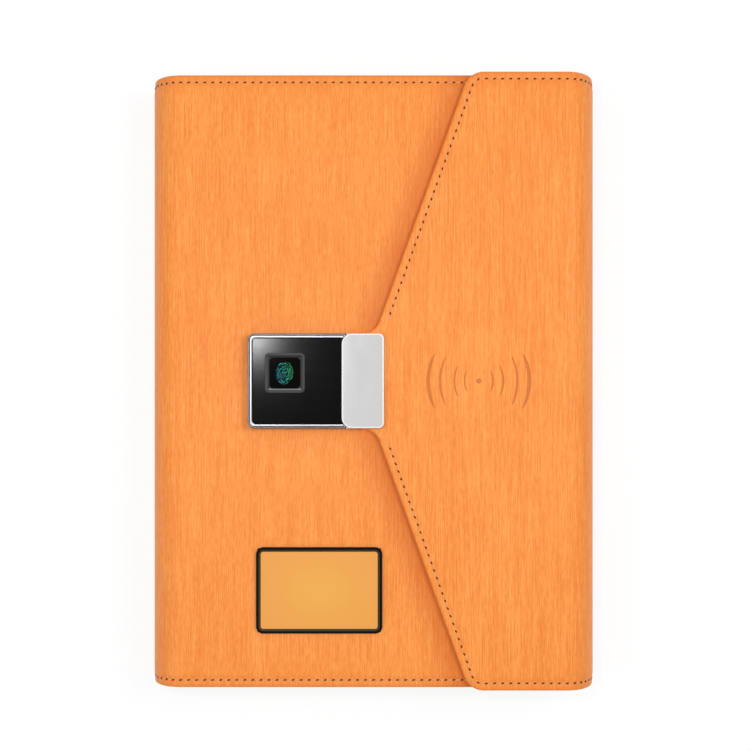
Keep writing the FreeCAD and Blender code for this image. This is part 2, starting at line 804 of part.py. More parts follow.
def lock_drive():
    axis_z = lock_floor + s.motor / 2 + s.run_gap
    axis = (s.motor_y, axis_z)
    motor_left = s.lock_left + s.well_inset + s.lock_wall + s.run_gap
    motor_right = motor_left + s.motor_length
    motor = new_body("lock_motor")
    prism(motor, "YZ_Plane", circles(s.motor, [axis]), motor_left, motor_right)
    cavity_right = s.lock_right - s.lock_end_wall
    screw = new_body("lead_screw")
    prism(screw, "YZ_Plane", circles(s.screw_lead, [axis]), motor_right + s.run_gap, cavity_right - s.run_gap)
    bolt = new_body("lock_bolt")
    low, high = lock_floor + s.run_gap * 2, pin_level() + s.bolt_pin / 2 + s.bolt_cover
    near = s.motor_y - s.motor / 2
    bolt_right = s.bolt_left + s.bolt_length
    prism(bolt, "YZ_Plane", box(near, s.bolt_side, low, high), s.bolt_left, bolt_right)
    bore = circles(s.screw_lead + s.run_gap * 2, [axis])
    prism(bolt, "YZ_Plane", bore, s.bolt_left, bolt_right, cut=True)
    prism(bolt, "YZ_Plane", circles(s.bolt_pin, [(ZERO, pin_level())]), bolt_right, s.bolt_tip)


def fore_edge():
    inner_half = half_flap - s.flap_leather
    body = new_body("fore_edge_leather")
    inside = wall_out - flap_thick
    plate(body, box(inside, wall_out, -half_flap, half_flap), s.fold_radius, fore_high)
    sink(body, box(inside - s.overrun, wall_out - s.flap_leather, -inner_half, inner_half),
         s.fold_radius, fore_high)
    dress(body, "Fillet", s.flap_bevel, edges_at(body, "z", x=wall_out))
    panel_half = inner_half - s.fit_gap
    board_right = wall_out - s.flap_leather
    board_left = board_right - s.flap_board
    laid_panel("fore_edge_board", board_left, board_right, panel_half, s.fold_radius, fore_high)
    laid_panel("fore_edge_lining", inside, inside + s.flap_lining, panel_half, s.fold_radius, fore_high)
    fold("fore_edge_upper_fold", 1, True, fore_high, half_flap)


def flap_corners(inset):
    """The flap's outline drawn in by an inset along its free edges."""
    tongue_half = s.tongue_width / 2
    slope = (s.flap_corner_x - s.flap_neck_x) / (half_flap - tongue_half)
    shift = ((slope * slope + 1).root() - slope) * inset
    upper = [
        (half_flat, half_flap - inset),
        (s.flap_corner_x + shift, half_flap - inset),
        (s.flap_neck_x + shift, tongue_half - inset),
        (s.tongue_end_x + inset, tongue_half - inset),
    ]
    return upper + [(x, -y) for x, y in reversed(upper)]


def flap_outline(inset):
    corner = s.flap_corner_round - inset
    neck = s.flap_neck_round + inset
    return outline(flap_corners(inset), {1: corner, 2: neck, 5: neck, 6: corner})


def flap():
    rivets = [(s.rivet_x, s.rivet_spacing * side / 2) for side in (-1, 1)]
    leather = new_body("flap_leather")
    plate(leather, flap_outline(ZERO), flap_bottom, flap_top)
    sink(leather, flap_outline(s.flap_leather), flap_bottom, flap_skin)
    dress(leather, "Chamfer", s.flap_bevel,
          [name for name in edges_at(leather, z=flap_top) if name not in edges_at(leather, "y", x=half_flat)])
    sink(leather, circles(s.rivet, rivets), flap_skin, flap_top)
    for name, low, high, hole in (
        ("flap_board", flap_core, flap_skin, s.rivet),
        ("flap_lining", flap_bottom, flap_core, s.rivet_head),
    ):
        layer = new_body(name)
        plate(layer, flap_outline(s.flap_leather + s.fit_gap), low, high)
        sink(layer, circles(hole, rivets), low, high)

    clasp_top = flap_top + s.clasp_top
    lip_low = lock_top + s.clasp_gap
    step = s.lock_right + s.clasp_gap
    half = s.clasp_width / 2
    clasp = new_body("clasp_plate")
    plate(clasp, box(s.clasp_left, s.clasp_right, -half, half), lip_low, clasp_top)
    dress(clasp, "Fillet", s.clasp_right_round, edges_at(clasp, "z", x=s.clasp_right))
    dress(clasp, "Fillet", s.clasp_left_round, edges_at(clasp, "z", x=s.clasp_left))
    dress(clasp, "Chamfer", s.clasp_bevel, edges_at(clasp, z=clasp_top))
    plate(clasp, rounded(step, s.clasp_right, -half, half, s.clasp_right_round), flap_top, lip_low)
    root_top = flap_top + s.hook_root
    hook_half = s.hook_width / 2
    hook_right = s.hook_left + s.hook
    sink(clasp, box(s.hook_left, hook_right, -hook_half, hook_half), flap_top, root_top)
    sink(clasp, circles(s.rivet, rivets), flap_top, root_top)

    hook = new_body("clasp_hook")
    hook_low = flap_top - s.hook_drop
    plate(hook, box(s.hook_left, hook_right, -hook_half, hook_half), hook_low, root_top)
    dress(hook, "Chamfer", s.hook_bevel, edges_at(hook, "y", z=hook_low))
    eye = about(ZERO, pin_level(), s.hook_eye_width, s.hook_eye_height)
    prism(hook, "YZ_Plane", eye, s.hook_left, hook_right, cut=True)

    pins = new_body("clasp_rivets")
    plate(pins, circles(s.rivet_head, rivets), flap_bottom, flap_core)
    plate(pins, circles(s.rivet, rivets), flap_core, root_top)


def write_parts():
    document.recompute()
    for item in document.Objects:
        if "Invalid" in item.State or "Error" in item.State:
            raise RuntimeError(f"{item.Label} failed: {item.State}")
    os.makedirs("parts", exist_ok=True)
    for body in NODES:
        if body.Shape.isNull() or not body.Shape.isValid():
            raise RuntimeError(f"{body.Label} has no valid shape")
    for body in NODES:
        body.Shape.exportStep(f"parts/{body.Label}.step")
        print(f"{body.Label}: {len(body.Shape.Solids)} solid(s), {body.Shape.Volume:.1f} cubic mm")


back_cover()
spine()
notebook()
front_shell()
power_bank()
power_button()
badge()
lock_case()
fingerprint_reader()
lock_drive()
fore_edge()
flap()
write_parts()
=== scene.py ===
"""The fingerprint lock notebook: leather wrap, stitched edges, lock, badge and insert, over the frame."""
import json
import math

import bmesh
import bpy
from mathutils import Matrix, Vector
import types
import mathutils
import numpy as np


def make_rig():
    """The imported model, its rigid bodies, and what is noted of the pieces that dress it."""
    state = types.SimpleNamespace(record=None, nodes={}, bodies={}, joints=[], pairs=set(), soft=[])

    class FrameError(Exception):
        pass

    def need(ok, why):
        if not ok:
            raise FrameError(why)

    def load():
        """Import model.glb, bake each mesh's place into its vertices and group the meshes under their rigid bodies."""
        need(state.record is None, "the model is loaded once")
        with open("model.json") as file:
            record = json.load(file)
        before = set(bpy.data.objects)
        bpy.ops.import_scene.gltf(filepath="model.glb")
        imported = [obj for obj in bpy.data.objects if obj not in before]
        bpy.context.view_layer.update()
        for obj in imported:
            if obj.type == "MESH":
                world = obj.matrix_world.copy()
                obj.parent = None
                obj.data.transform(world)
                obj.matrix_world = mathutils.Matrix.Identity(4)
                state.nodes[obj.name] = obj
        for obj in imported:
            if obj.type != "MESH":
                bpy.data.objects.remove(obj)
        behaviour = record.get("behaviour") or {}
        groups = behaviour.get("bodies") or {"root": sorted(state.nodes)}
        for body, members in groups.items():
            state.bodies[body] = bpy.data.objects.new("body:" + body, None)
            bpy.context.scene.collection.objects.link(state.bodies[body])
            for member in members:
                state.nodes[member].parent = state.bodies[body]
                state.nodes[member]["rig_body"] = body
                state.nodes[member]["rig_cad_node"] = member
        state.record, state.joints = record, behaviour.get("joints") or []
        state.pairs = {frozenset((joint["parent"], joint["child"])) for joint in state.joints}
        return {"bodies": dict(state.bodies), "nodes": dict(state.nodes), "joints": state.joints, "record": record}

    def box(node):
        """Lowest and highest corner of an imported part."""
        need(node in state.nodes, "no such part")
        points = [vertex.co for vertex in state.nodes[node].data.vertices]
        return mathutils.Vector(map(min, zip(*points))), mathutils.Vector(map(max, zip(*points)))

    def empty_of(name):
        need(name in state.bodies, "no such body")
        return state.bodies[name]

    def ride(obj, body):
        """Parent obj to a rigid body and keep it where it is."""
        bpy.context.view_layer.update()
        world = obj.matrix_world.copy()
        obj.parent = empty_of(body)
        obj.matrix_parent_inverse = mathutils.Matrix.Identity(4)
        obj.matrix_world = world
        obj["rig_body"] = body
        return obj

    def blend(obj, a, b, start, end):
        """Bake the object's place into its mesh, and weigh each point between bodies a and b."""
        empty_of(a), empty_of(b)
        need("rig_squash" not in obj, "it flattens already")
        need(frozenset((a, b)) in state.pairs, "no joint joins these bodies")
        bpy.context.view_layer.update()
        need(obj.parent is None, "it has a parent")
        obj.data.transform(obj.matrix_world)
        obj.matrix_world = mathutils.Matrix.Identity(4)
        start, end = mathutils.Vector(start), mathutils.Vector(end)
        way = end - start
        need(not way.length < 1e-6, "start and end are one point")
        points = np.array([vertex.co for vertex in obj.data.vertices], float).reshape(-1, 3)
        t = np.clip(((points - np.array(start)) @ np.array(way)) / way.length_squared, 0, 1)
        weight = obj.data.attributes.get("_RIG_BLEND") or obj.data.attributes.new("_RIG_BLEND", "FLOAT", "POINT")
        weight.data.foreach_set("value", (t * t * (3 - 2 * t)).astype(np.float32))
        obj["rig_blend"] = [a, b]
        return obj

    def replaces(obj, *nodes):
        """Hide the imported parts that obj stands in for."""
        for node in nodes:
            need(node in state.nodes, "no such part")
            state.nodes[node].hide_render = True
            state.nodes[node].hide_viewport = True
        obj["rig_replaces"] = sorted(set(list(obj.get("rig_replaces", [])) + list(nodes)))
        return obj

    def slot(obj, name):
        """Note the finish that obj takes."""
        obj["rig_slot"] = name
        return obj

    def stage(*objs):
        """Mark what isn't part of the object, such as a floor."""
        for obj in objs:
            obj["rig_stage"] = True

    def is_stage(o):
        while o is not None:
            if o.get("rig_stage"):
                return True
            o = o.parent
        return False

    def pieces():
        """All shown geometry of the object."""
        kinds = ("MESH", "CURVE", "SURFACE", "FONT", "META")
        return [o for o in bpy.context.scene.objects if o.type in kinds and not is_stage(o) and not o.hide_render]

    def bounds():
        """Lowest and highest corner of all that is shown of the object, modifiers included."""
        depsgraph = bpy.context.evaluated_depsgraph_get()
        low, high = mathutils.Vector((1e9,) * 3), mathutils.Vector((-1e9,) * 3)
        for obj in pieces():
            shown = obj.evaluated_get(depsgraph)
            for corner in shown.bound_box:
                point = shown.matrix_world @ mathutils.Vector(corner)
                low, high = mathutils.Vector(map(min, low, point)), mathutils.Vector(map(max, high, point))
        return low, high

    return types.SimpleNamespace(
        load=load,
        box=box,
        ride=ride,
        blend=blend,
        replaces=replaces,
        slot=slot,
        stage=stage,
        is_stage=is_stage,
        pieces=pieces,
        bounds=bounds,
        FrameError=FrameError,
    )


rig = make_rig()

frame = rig.load()
cad_box = [list(corner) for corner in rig.bounds()]


# Sizes in millimetres, the main ones read from the frame. MM turns them into metres.

MM = 0.001
TOUCH = 1e-6  # in metres: points closer than this count as one
UP = Vector((0, 0, 1))


def corners(node):
    """The lowest and the highest corner of a node."""
    return [[round(value / MM, 3) for value in corner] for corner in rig.box(node)]


back_high = corners("back_leather")[1]
front_low, front_high = corners("front_leather")
spine_low, spine_high = corners("spine_leather")
fore_low, fore_high = corners("fore_edge_leather")
flap_low, flap_high = corners("flap_leather")
FOLD_LINE, FRONT_END = back_high[0], front_high[0]
COVER_HALF, FLAP_HALF = front_high[1], flap_high[1]
FRONT_FACE, FLAP_FACE = front_high[2], flap_high[2]
SPINE_FACE, FORE_FACE = spine_low[0], fore_high[0]
LEATHER, FORE_LEATHER, SLEEVE_LEATHER, SLEEVE_CORNER, SLEEVE_ROUND = 1.2, 1.0, 0.95, 2.0, 0.5

# The lower folds are round. The upper ones are oval and rise further than they reach out.
FOLD_REACH, SPINE_RISE, FLAP_RISE = FORE_FACE - FOLD_LINE, 15.0, 18.0
LOW_TURN, SPINE_TURN, FLAP_TURN = FOLD_REACH, FRONT_FACE - SPINE_RISE, FLAP_FACE - FLAP_RISE

# A hem: a turned edge, a pressed band, a groove and a slight rise, as (in from the edge, below the face)
HEM = ((0.0, 1.1), (0.3, 0.55), (0.8, 0.3), (1.3, 0.25), (2.2, 0.25), (2.9, 0.4), (3.7, 0.12), (4.9, 0.0))
SEAM_IN, SEAM_DEEP = HEM[5]

# The flap's outline: a tongue, slanted shoulders with a run along X, and the rounds at their two ends
TONGUE_START, TONGUE_END, TONGUE_HALF = -20.0, 0.7, 18.5
SHOULDER_RUN, SHOULDER_ROUND, TONGUE_ROUND = 35.9, 7.5, 6.2
SHOULDER_END = TONGUE_END + SHOULDER_RUN
SLANT = math.atan2(FLAP_HALF - TONGUE_HALF, SHOULDER_RUN)
FLAP_TURNED, FLAP_HOLLOW, SHOULDER_SEAM = 1.0, 1.6, 95.0

# The charging mark: a dot, and arcs as (out from the dot, radius of the bow, half height, half width)
MARK_MIDDLE, MARK_DOT, MARK_SOFT = 40.15, 1.05, 0.2
MARK_ARCS = ((5.4, 9.8, 4.7, 0.34), (9.3, 13.9, 6.5, 0.4), (14.7, 22.0, 10.1, 0.5), (19.3, 22.8, 11.0, 0.72))

# The card pockets: leaves of one thickness, each with its open edge a step below the one behind it
pocket_low, pocket_high = corners("card_pockets")
POCKET_COUNT, POCKET_STEP, POCKET_SEAM, POCKET_THREAD = 3, 16.0, 2.2, 0.03
LEAF_CORNER, LEAF_SOFT, LEAF_CLEAR = 2.2, 0.12, 0.02
POCKET_TOPS = [pocket_high[1] - POCKET_STEP * step for step in range(POCKET_COUNT)]
POCKET_LEFT, POCKET_RIGHT = pocket_low[0], pocket_high[0]
POCKET_FOOT, POCKET_BACK = pocket_low[1], pocket_high[2]
POCKET_LEAF = (POCKET_BACK - pocket_low[2]) / POCKET_COUNT

# The lock's face, and the middles of its sensor and of the badge's panel in metres
face_low, face_high = corners("lock_face")
FACE_TOP = face_high[2]
sensor_low, sensor_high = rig.box("fingerprint_sensor")
lens_low, lens_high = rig.box("badge_lens")
sensor_middle = (sensor_low + sensor_high) / 2
lens_middle = (lens_low + lens_high) / 2


# Colours and finishes

def tint(code):
    """A colour from its six-figure code, as the light values that a shader takes."""
    parts = [int(code[place:place + 2], 16) / 255 for place in (0, 2, 4)]
    light = [part / 12.92 if part <= 0.04045 else ((part + 0.055) / 1.055) ** 2.4 for part in parts]
    return (*light, 1.0)


def reckoning(operation, swapped=False):
    """A way for a wire to be reckoned with a number or another wire, as a node on the tree."""
    def reckon(self, other=0.0):
        first, second = (other, self) if swapped else (self, other)
        return self.finish.node("ShaderNodeMath", {"operation": operation}, {0: first, 1: second})
    return reckon


class Wire:
    """One socket of a finish, which takes plain arithmetic."""

    def __init__(self, finish, socket):
        self.finish = finish
        self.socket = socket

    __add__, __radd__ = reckoning("ADD"), reckoning("ADD", swapped=True)
    __sub__, __rsub__ = reckoning("SUBTRACT"), reckoning("SUBTRACT", swapped=True)
    __mul__, __truediv__ = reckoning("MULTIPLY"), reckoning("DIVIDE")
    __abs__, root = reckoning("ABSOLUTE"), reckoning("SQRT")
    wave, most = reckoning("SINE"), reckoning("MAXIMUM")


class Wiring:
    """A tree of nodes, and the one way in which nodes are put on it."""

    def __init__(self, tree):
        self.tree = tree

    def node(self, kind, settings=None, sockets=None, out=0):
        made = self.tree.nodes.new(kind)
        for key, value in (settings or {}).items():
            if key == "stops":
                while len(made.color_ramp.elements) < len(value):
                    made.color_ramp.elements.new(0.5)
                for stop, (position, colour) in zip(made.color_ramp.elements, value):
                    stop.position = position
                    stop.color = colour
            else:
                setattr(made, key, value)
        for key, value in (sockets or {}).items():
            if isinstance(value, Wire):
                self.tree.links.new(value.socket, made.inputs[key])
            else:
                made.inputs[key].default_value = value
        return Wire(self, made.outputs[out])

    def ray(self, kind):
        """One for light of this kind, and nought for the rest."""
        return self.node("ShaderNodeLightPath", out=f"Is {kind} Ray")


class Finish(Wiring):
    """A material and the few things that a finish is made from: place, clouds, steps, blends and a bump."""

    def __init__(self, name, slot, **plain):
        self.slot = slot
        self.sheet = bpy.data.materials.new(name)
        self.sheet.use_nodes = True
        super().__init__(self.sheet.node_tree)
        self.shader = self.tree.nodes["Principled BSDF"]
        for socket, value in plain.items():
            self.shader.inputs[socket.replace("_", " ")].default_value = value
        self.place = self.node("ShaderNodeTexCoord", out="Object")

    def feed(self, **sockets):
        for socket, wire in sockets.items():
            self.tree.links.new(wire.socket, self.shader.inputs[socket.replace("_", " ")])

    def axes(self, letters):
        return [self.node("ShaderNodeSeparateXYZ", None, {0: self.place}, letter) for letter in letters]

    def about(self, centre, half_width, half_height):
        """How far across and up from a centre, where one is the half size."""
        x, y = self.axes("XY")
        return (x - centre.x) / (half_width * MM), (y - centre.y) / (half_height * MM)

    def spread(self, size, shift=0.0):
        """The place on the piece, counted in steps of one size, or of a size along each axis."""
        sizes = size if isinstance(size, tuple) else (size, size, size)
        scale = tuple(1 / length for length in sizes)
        return self.node("ShaderNodeVectorMath", {"operation": "MULTIPLY_ADD"},
                         {0: self.place, 1: scale, 2: (shift, shift, shift)})

    def cloud(self, size, detail=2.0, rough=0.5, shift=0.0):
        return self.node("ShaderNodeTexNoise", None, {"Vector": self.spread(size, shift), "Scale": 1.0,
                                                      "Detail": detail, "Roughness": rough})

    def cells(self, size, feature="F1"):
        return self.node("ShaderNodeTexVoronoi", {"feature": feature},
                         {"Vector": self.spread(size), "Scale": 1.0})

    def step(self, value, low, high):
        """Nought below low, one above high, with a soft rise between them."""
        return self.node("ShaderNodeMapRange", {"interpolation_type": "SMOOTHSTEP"},
                         {"Value": value, "From Min": low, "From Max": high})

    def ramp(self, value, *codes):
        stops = [(place, tint(code)) for place, code in codes]
        return self.node("ShaderNodeValToRGB", {"stops": stops}, {0: value})

    def blend(self, first, second, share):
        return self.node("ShaderNodeMix", {"data_type": "RGBA"}, {0: share, 6: first, 7: second}, 2)

    def bump(self, height, depth, strength):
        return self.node("ShaderNodeBump", None, {"Height": height, "Distance": depth, "Strength": strength})


def stitched_leather(name, charging_mark=False, with_flap_shadow=False):
    """Brushed orange leather: fine lines that run head to foot, broad uneven bands and a close grain.
    It may carry a painted shadow of the flap, a darker band beside the line where the flap's edge comes to rest, or
    carry the charging mark."""
    leather = Finish(name, "leather", Specular_IOR_Level=0.32, Sheen_Weight=0.06, Sheen_Roughness=0.5)
    x, y = leather.axes("XY")
    hair = leather.cloud((0.00033, 0.022, 0.00033), rough=0.6)
    nick = leather.cloud((0.0004, 0.0034, 0.0004), rough=0.6, shift=3.7)
    band = leather.cloud((0.004, 0.07, 0.004), shift=8.1)
    patch = leather.cloud((0.024, 0.03, 0.024), shift=1.9)
    grain = leather.cloud((0.00038, 0.0007, 0.00038), rough=0.6, shift=5.3)
    tone = leather.step(hair * 0.46 + nick * 0.36 + band * 0.1 + patch * 0.08, 0.35, 0.65)
    colour = leather.ramp(tone, (0.0, "EB7E2A"), (0.5, "F5903C"), (1.0, "FEA350"))
    pores = leather.step(grain, 0.62, 0.8)
    colour = leather.blend(colour, tint("D9722B"), pores * 0.22)
    up = abs(y)
    hem = leather.step(up, (COVER_HALF - 7.0) * MM, (COVER_HALF - 1.3) * MM)
    colour = leather.blend(colour, tint("E67A30"), hem * 0.3)
    height = hair * 0.4 + nick * 0.25 + grain * 0.3
    if with_flap_shadow:
        # Painted shadow: the cover is darkened beside the flap's slanted edges, where the flap's shadow falls.
        past = (x - TONGUE_END * MM) * math.sin(SLANT) - (up - TONGUE_HALF * MM) * math.cos(SLANT)
        shadow_band = leather.step(past, -12.5 * MM, 0.2 * MM) * (1.0 - leather.step(past, 0.0, 4.0 * MM))
        shadow_band = shadow_band * leather.step(up, (TONGUE_HALF - 6.5) * MM, (TONGUE_HALF + 3.5) * MM)
        colour = leather.blend(colour, tint("C45A0A"), shadow_band * 0.6)
    if charging_mark:
        across = abs(x - MARK_MIDDLE * MM)
        soft = MARK_SOFT * MM
        mark = leather.step(MARK_DOT * MM - (across * across + y * y).root(), 0.0, soft)
        for out, bow, half_height, half_width in MARK_ARCS:
            deep = across + (bow - out) * MM
            tall = y / (half_height * MM)
            swell = (1.0 - tall * tall * tall * tall) * (half_width * MM)
            stroke = swell - abs((deep * deep + y * y).root() - bow * MM)
            mark = mark.most(leather.step(stroke, 0.0, soft))
        colour = leather.blend(colour, tint("C2621F"), mark * 0.7)
        height = height - mark * 1.6
    leather.feed(Base_Color=colour, Roughness=0.46 + hair * 0.16 + pores * 0.08,
                 Normal=leather.bump(height, 0.00022, 0.55))
    return leather


def sewing_thread():
    thread = Finish("waxed_thread", "leather", Sheen_Weight=0.2)
    twist = thread.cells(0.00022)
    colour = thread.ramp(twist, (0.0, "EDBB85"), (1.0, "C58A54"))
    thread.feed(Base_Color=colour, Roughness=0.55 + twist * 0.2, Normal=thread.bump(1 - twist, 0.0001, 0.5))
    return thread


def needle_hole():
    # The hole is drawn as a dark bead: its colour is painted shade for the hollow of the hole.
    hole = Finish("needle_hole", "leather", Specular_IOR_Level=0.0)
    hole_mottle = hole.cloud(0.0004, rough=0.6)
    colour = hole.ramp(hole_mottle, (0.3, "5E2403"), (0.7, "843606"))
    hole.feed(Base_Color=colour, Roughness=0.8 + hole_mottle * 0.1)
    return hole


def brushed_lining():
    """Close short-pile lining in a warm sand colour."""
    lining = Finish("brushed_lining", "lining", Sheen_Weight=0.35, Sheen_Roughness=0.4,
                    Specular_IOR_Level=0.15)
    pile = lining.cloud(0.0003, detail=3.0, rough=0.7)
    nap = lining.cloud((0.016, 0.03, 0.016), shift=4.0)
    tone = lining.step(pile * 0.84 + nap * 0.16, 0.32, 0.7)
    colour = lining.ramp(tone, (0.0, "8C6A4A"), (0.5, "A58460"), (1.0, "BD9C76"))
    lining.feed(Base_Color=colour, Roughness=0.84 + pile * 0.12, Normal=lining.bump(pile, 0.00016, 0.7))
    return lining


def pocket_leather():
    """Pebbled tan leather, burnished dark along each leaf's open edge."""
    hide = Finish("pocket_leather", "sleeve", Specular_IOR_Level=0.3)
    pebble = hide.cells(0.0011, "DISTANCE_TO_EDGE")
    haze = hide.cloud((0.02, 0.025, 0.02), detail=3.0)
    dent = hide.step(pebble, 0.0, 0.12)
    colour = hide.ramp(haze, (0.3, "B8743A"), (0.7, "CF8A4B"))
    colour = hide.blend(tint("8F5526"), colour, 0.45 + dent * 0.55)
    y, = hide.axes("Y")
    for top in POCKET_TOPS:
        burnish = hide.step(y, (top - 1.3) * MM, (top - 0.5) * MM)
        burnish = burnish * (1.0 - hide.step(y, top * MM, (top + 0.1) * MM))
        colour = hide.blend(colour, tint("6E3E1A"), burnish * 0.7)
    hide.feed(Base_Color=colour, Roughness=0.62 - dent * 0.14, Normal=hide.bump(dent, 0.00012, 0.6))
    return hide


def page_paper():
    """Cream pages: on the cut edges each sheet shows as a hair line."""
    paper = Finish("page_paper", "paper", Specular_IOR_Level=0.1)
    sheets = paper.cloud((0.05, 0.05, 0.00012), detail=1.0)
    bundle = paper.cloud((0.09, 0.09, 0.0011), shift=6.0)
    fibre = paper.cloud((0.0016, 0.0007, 0.0016), detail=3.0, rough=0.6, shift=2.0)
    shade = paper.step(sheets * 0.6 + bundle * 0.4, 0.36, 0.6)
    colour = paper.ramp(shade, (0.0, "CDBD9C"), (0.6, "EFE5CC"), (1.0, "F8F1DE"))
    paper.feed(Base_Color=paper.blend(colour, tint("E4D8BB"), fibre * 0.25), Roughness=0.86 + fibre * 0.08,
               Normal=paper.bump(sheets * 0.8 + fibre * 0.2, 0.00012, 0.6))
    return paper


def kraft_card():
    card = Finish("kraft_card", "card", Specular_IOR_Level=0.15)
    fibre = card.cloud((0.0024, 0.0005, 0.0024), detail=4.0, rough=0.65)
    fleck = card.step(card.cloud((0.0007, 0.0012, 0.0007), shift=7.0), 0.66, 0.74)
    colour = card.ramp(fibre, (0.3, "A9825A"), (0.7, "C29B70"))
    card.feed(Base_Color=card.blend(colour, tint("7E5D3C"), fleck * 0.5), Roughness=0.8 + fibre * 0.12,
              Normal=card.bump(fibre, 0.0001, 0.5))
    return card


def spine_cloth():
    """Book cloth: two sets of threads that cross."""
    cloth = Finish("spine_cloth", "tape", Sheen_Weight=0.2, Specular_IOR_Level=0.15)
    x, y, z = cloth.axes("XYZ")
    threads = 9000.0
    warp = (y * threads).wave() * 0.5 + 0.5
    weft = ((x + z) * threads).wave() * 0.5 + 0.5
    slub = cloth.cloud((0.0012, 0.012, 0.0012))
    weave = warp * 0.5 + weft * 0.5
    colour = cloth.ramp(weave * 0.7 + slub * 0.3, (0.2, "4E3A2A"), (0.8, "7A5D44"))
    cloth.feed(Base_Color=colour, Roughness=0.78 + slub * 0.15, Normal=cloth.bump(weave, 0.0001, 0.7))
    return cloth


def grey_board():
    board = Finish("grey_board", "board", Specular_IOR_Level=0.1)
    pulp = board.cloud((0.0016, 0.0016, 0.0006), detail=4.0, rough=0.65)
    colour = board.ramp(pulp, (0.3, "7C7468"), (0.7, "A39A8B"))
    board.feed(Base_Color=colour, Roughness=0.82 + pulp * 0.14, Normal=board.bump(pulp, 0.00015, 0.6))
    return board


def polished_metal(name, slot, dark, light, base_rough, **plain):
    """Polished or satin metal with faint turning marks and a few hair scratches."""
    metal = Finish(name, slot, Metallic=1.0, **plain)
    haze = metal.cloud((0.009, 0.03, 0.009))
    scratch = metal.cloud((0.0001, 0.006, 0.0004), shift=9.0)
    colour = metal.ramp(haze * 0.5 + scratch * 0.5, (0.3, dark), (0.7, light))
    metal.feed(Base_Color=colour, Roughness=base_rough + haze * 0.06 + metal.step(scratch, 0.6, 0.75) * 0.05,
               Normal=metal.bump(scratch, 0.000004, 0.15))
    return metal


def moulded(name, slot, dark, light, base_rough, grain=0.0003, depth=0.00003, **plain):
    """Moulded plastic with a fine texture and slight flow shading."""
    plastic = Finish(name, slot, **plain)
    sparkle = plastic.cloud(grain, rough=0.6)
    flow = plastic.cloud(0.02, shift=2.6)
    colour = plastic.ramp(sparkle * 0.4 + flow * 0.6, (0.3, dark), (0.7, light))
    plastic.feed(Base_Color=colour, Roughness=base_rough + sparkle * 0.1 + flow * 0.04,
                 Normal=plastic.bump(sparkle, depth, 0.5))
    return plastic


def black_glass():
    """The lock's face: black gloss with a trace of dust and wiping."""
    glass = Finish("black_gloss_face", "black_gloss", Specular_IOR_Level=0.06)
    wipe = glass.cloud((0.012, 0.003, 0.012), detail=3.0, rough=0.55)
    dust = glass.step(glass.cloud(0.0003, shift=4.4), 0.72, 0.8)
    glass.feed(Base_Color=glass.ramp(wipe, (0.3, "020202"), (0.7, "040405")),
               Roughness=0.11 + wipe * 0.022 + dust * 0.05)
    return glass


def fingertip_print(half_width, half_height):
    """Black window with a made-up whorl of broken ridges, teal on the left to green on the right."""
    window = Finish("sensor_window", "black_gloss", Specular_IOR_Level=0.03, Emission_Strength=0.1)
    across, up = window.about(sensor_middle, half_width, half_height)
    warp = window.cloud(0.0019)
    reach = (across * across + up * up).root()
    lean = reach + warp * 0.55 + across * up * 0.12
    ridge = window.step((lean * 31.0).wave(), 0.0, 0.5)
    break_up = window.step(window.cloud(0.0006, detail=1.0, shift=2.2), 0.43, 0.5)
    oval = window.step(1.0 - reach - warp * 0.08, 0.0, 0.05)
    ink = ridge * break_up * oval
    hue = window.ramp(across * 0.5 + up * 0.12 + 0.5,
                      (0.0, "2C7FA6"), (0.45, "2FA38F"), (1.0, "2E9A4C"))
    window.feed(Base_Color=window.blend(tint("050505"), hue, ink * 0.75),
                Emission_Color=window.blend(tint("000000"), hue, ink), Roughness=0.05 + ink * 0.2)
    return window


def glowing_amber(half_width, half_height):
    """Amber light panel, brightest in the middle, with the faint spots of the lights behind it."""
    amber = Finish("amber_panel", "amber", Specular_IOR_Level=0.3, Emission_Strength=0.12)
    across, up = amber.about(lens_middle, half_width, half_height)
    far = (across * across + up * up * 0.8).root()
    mottle = amber.cloud(0.004, detail=3.0, rough=0.55)
    glow = 1.0 - amber.step(far + mottle * 0.16, 0.1, 1.35)
    colour = amber.ramp(glow, (0.0, "DD9743"), (0.5, "DE9A45"), (1.0, "E0A045"))
    amber.feed(Base_Color=colour, Emission_Color=colour, Roughness=0.36 + mottle * 0.12,
               Normal=amber.bump(mottle, 0.0001, 0.2))
    return amber


def circuit_green():
    """A green circuit board with paler copper lanes under its lacquer."""
    board = Finish("solder_mask", "circuit", Coat_Weight=0.3)
    x, y = board.axes("XY")
    lane = board.step((x * 3300.0).wave() * (y * 2100.0).wave(), 0.55, 0.6)
    cloud = board.cloud(0.008)
    colour = board.ramp(cloud, (0.3, "0E4A2C"), (0.7, "146038"))
    colour = board.blend(colour, tint("2C8354"), lane * 0.6)
    board.feed(Base_Color=colour, Roughness=0.4 + cloud * 0.12, Normal=board.bump(lane, 0.00003, 0.4))
    return board


leather = stitched_leather("orange_leather")
# The front cover's leather, which carries the flap's painted shadow.
cover_hide = stitched_leather("orange_leather_painted_shadow", with_flap_shadow=True)
flap_hide = stitched_leather("orange_leather_with_mark", charging_mark=True)
thread = sewing_thread()
pinprick = needle_hole()
lining = brushed_lining()
pocket_hide = pocket_leather()
chrome = polished_metal("polished_frame", "chrome", "8A8C8F", "A0A2A6", 0.34)
silver = polished_metal("polished_clasp", "silver", "CECECE", "D3D3D3", 0.05)
# The clasp bevel's painted highlight.
clasp_bevel_highlight_paint = moulded("clasp_bevel_painted_highlight", "silver", "F0F0F0", "F8F8F8", 0.25)
# The sensor bezel's painted highlight, for its slopes that face the head.
sensor_slope_painted_highlight = polished_metal("sensor_slope_painted_highlight", "black_satin", "7C7C7E", "8A8A8C", 0.12)
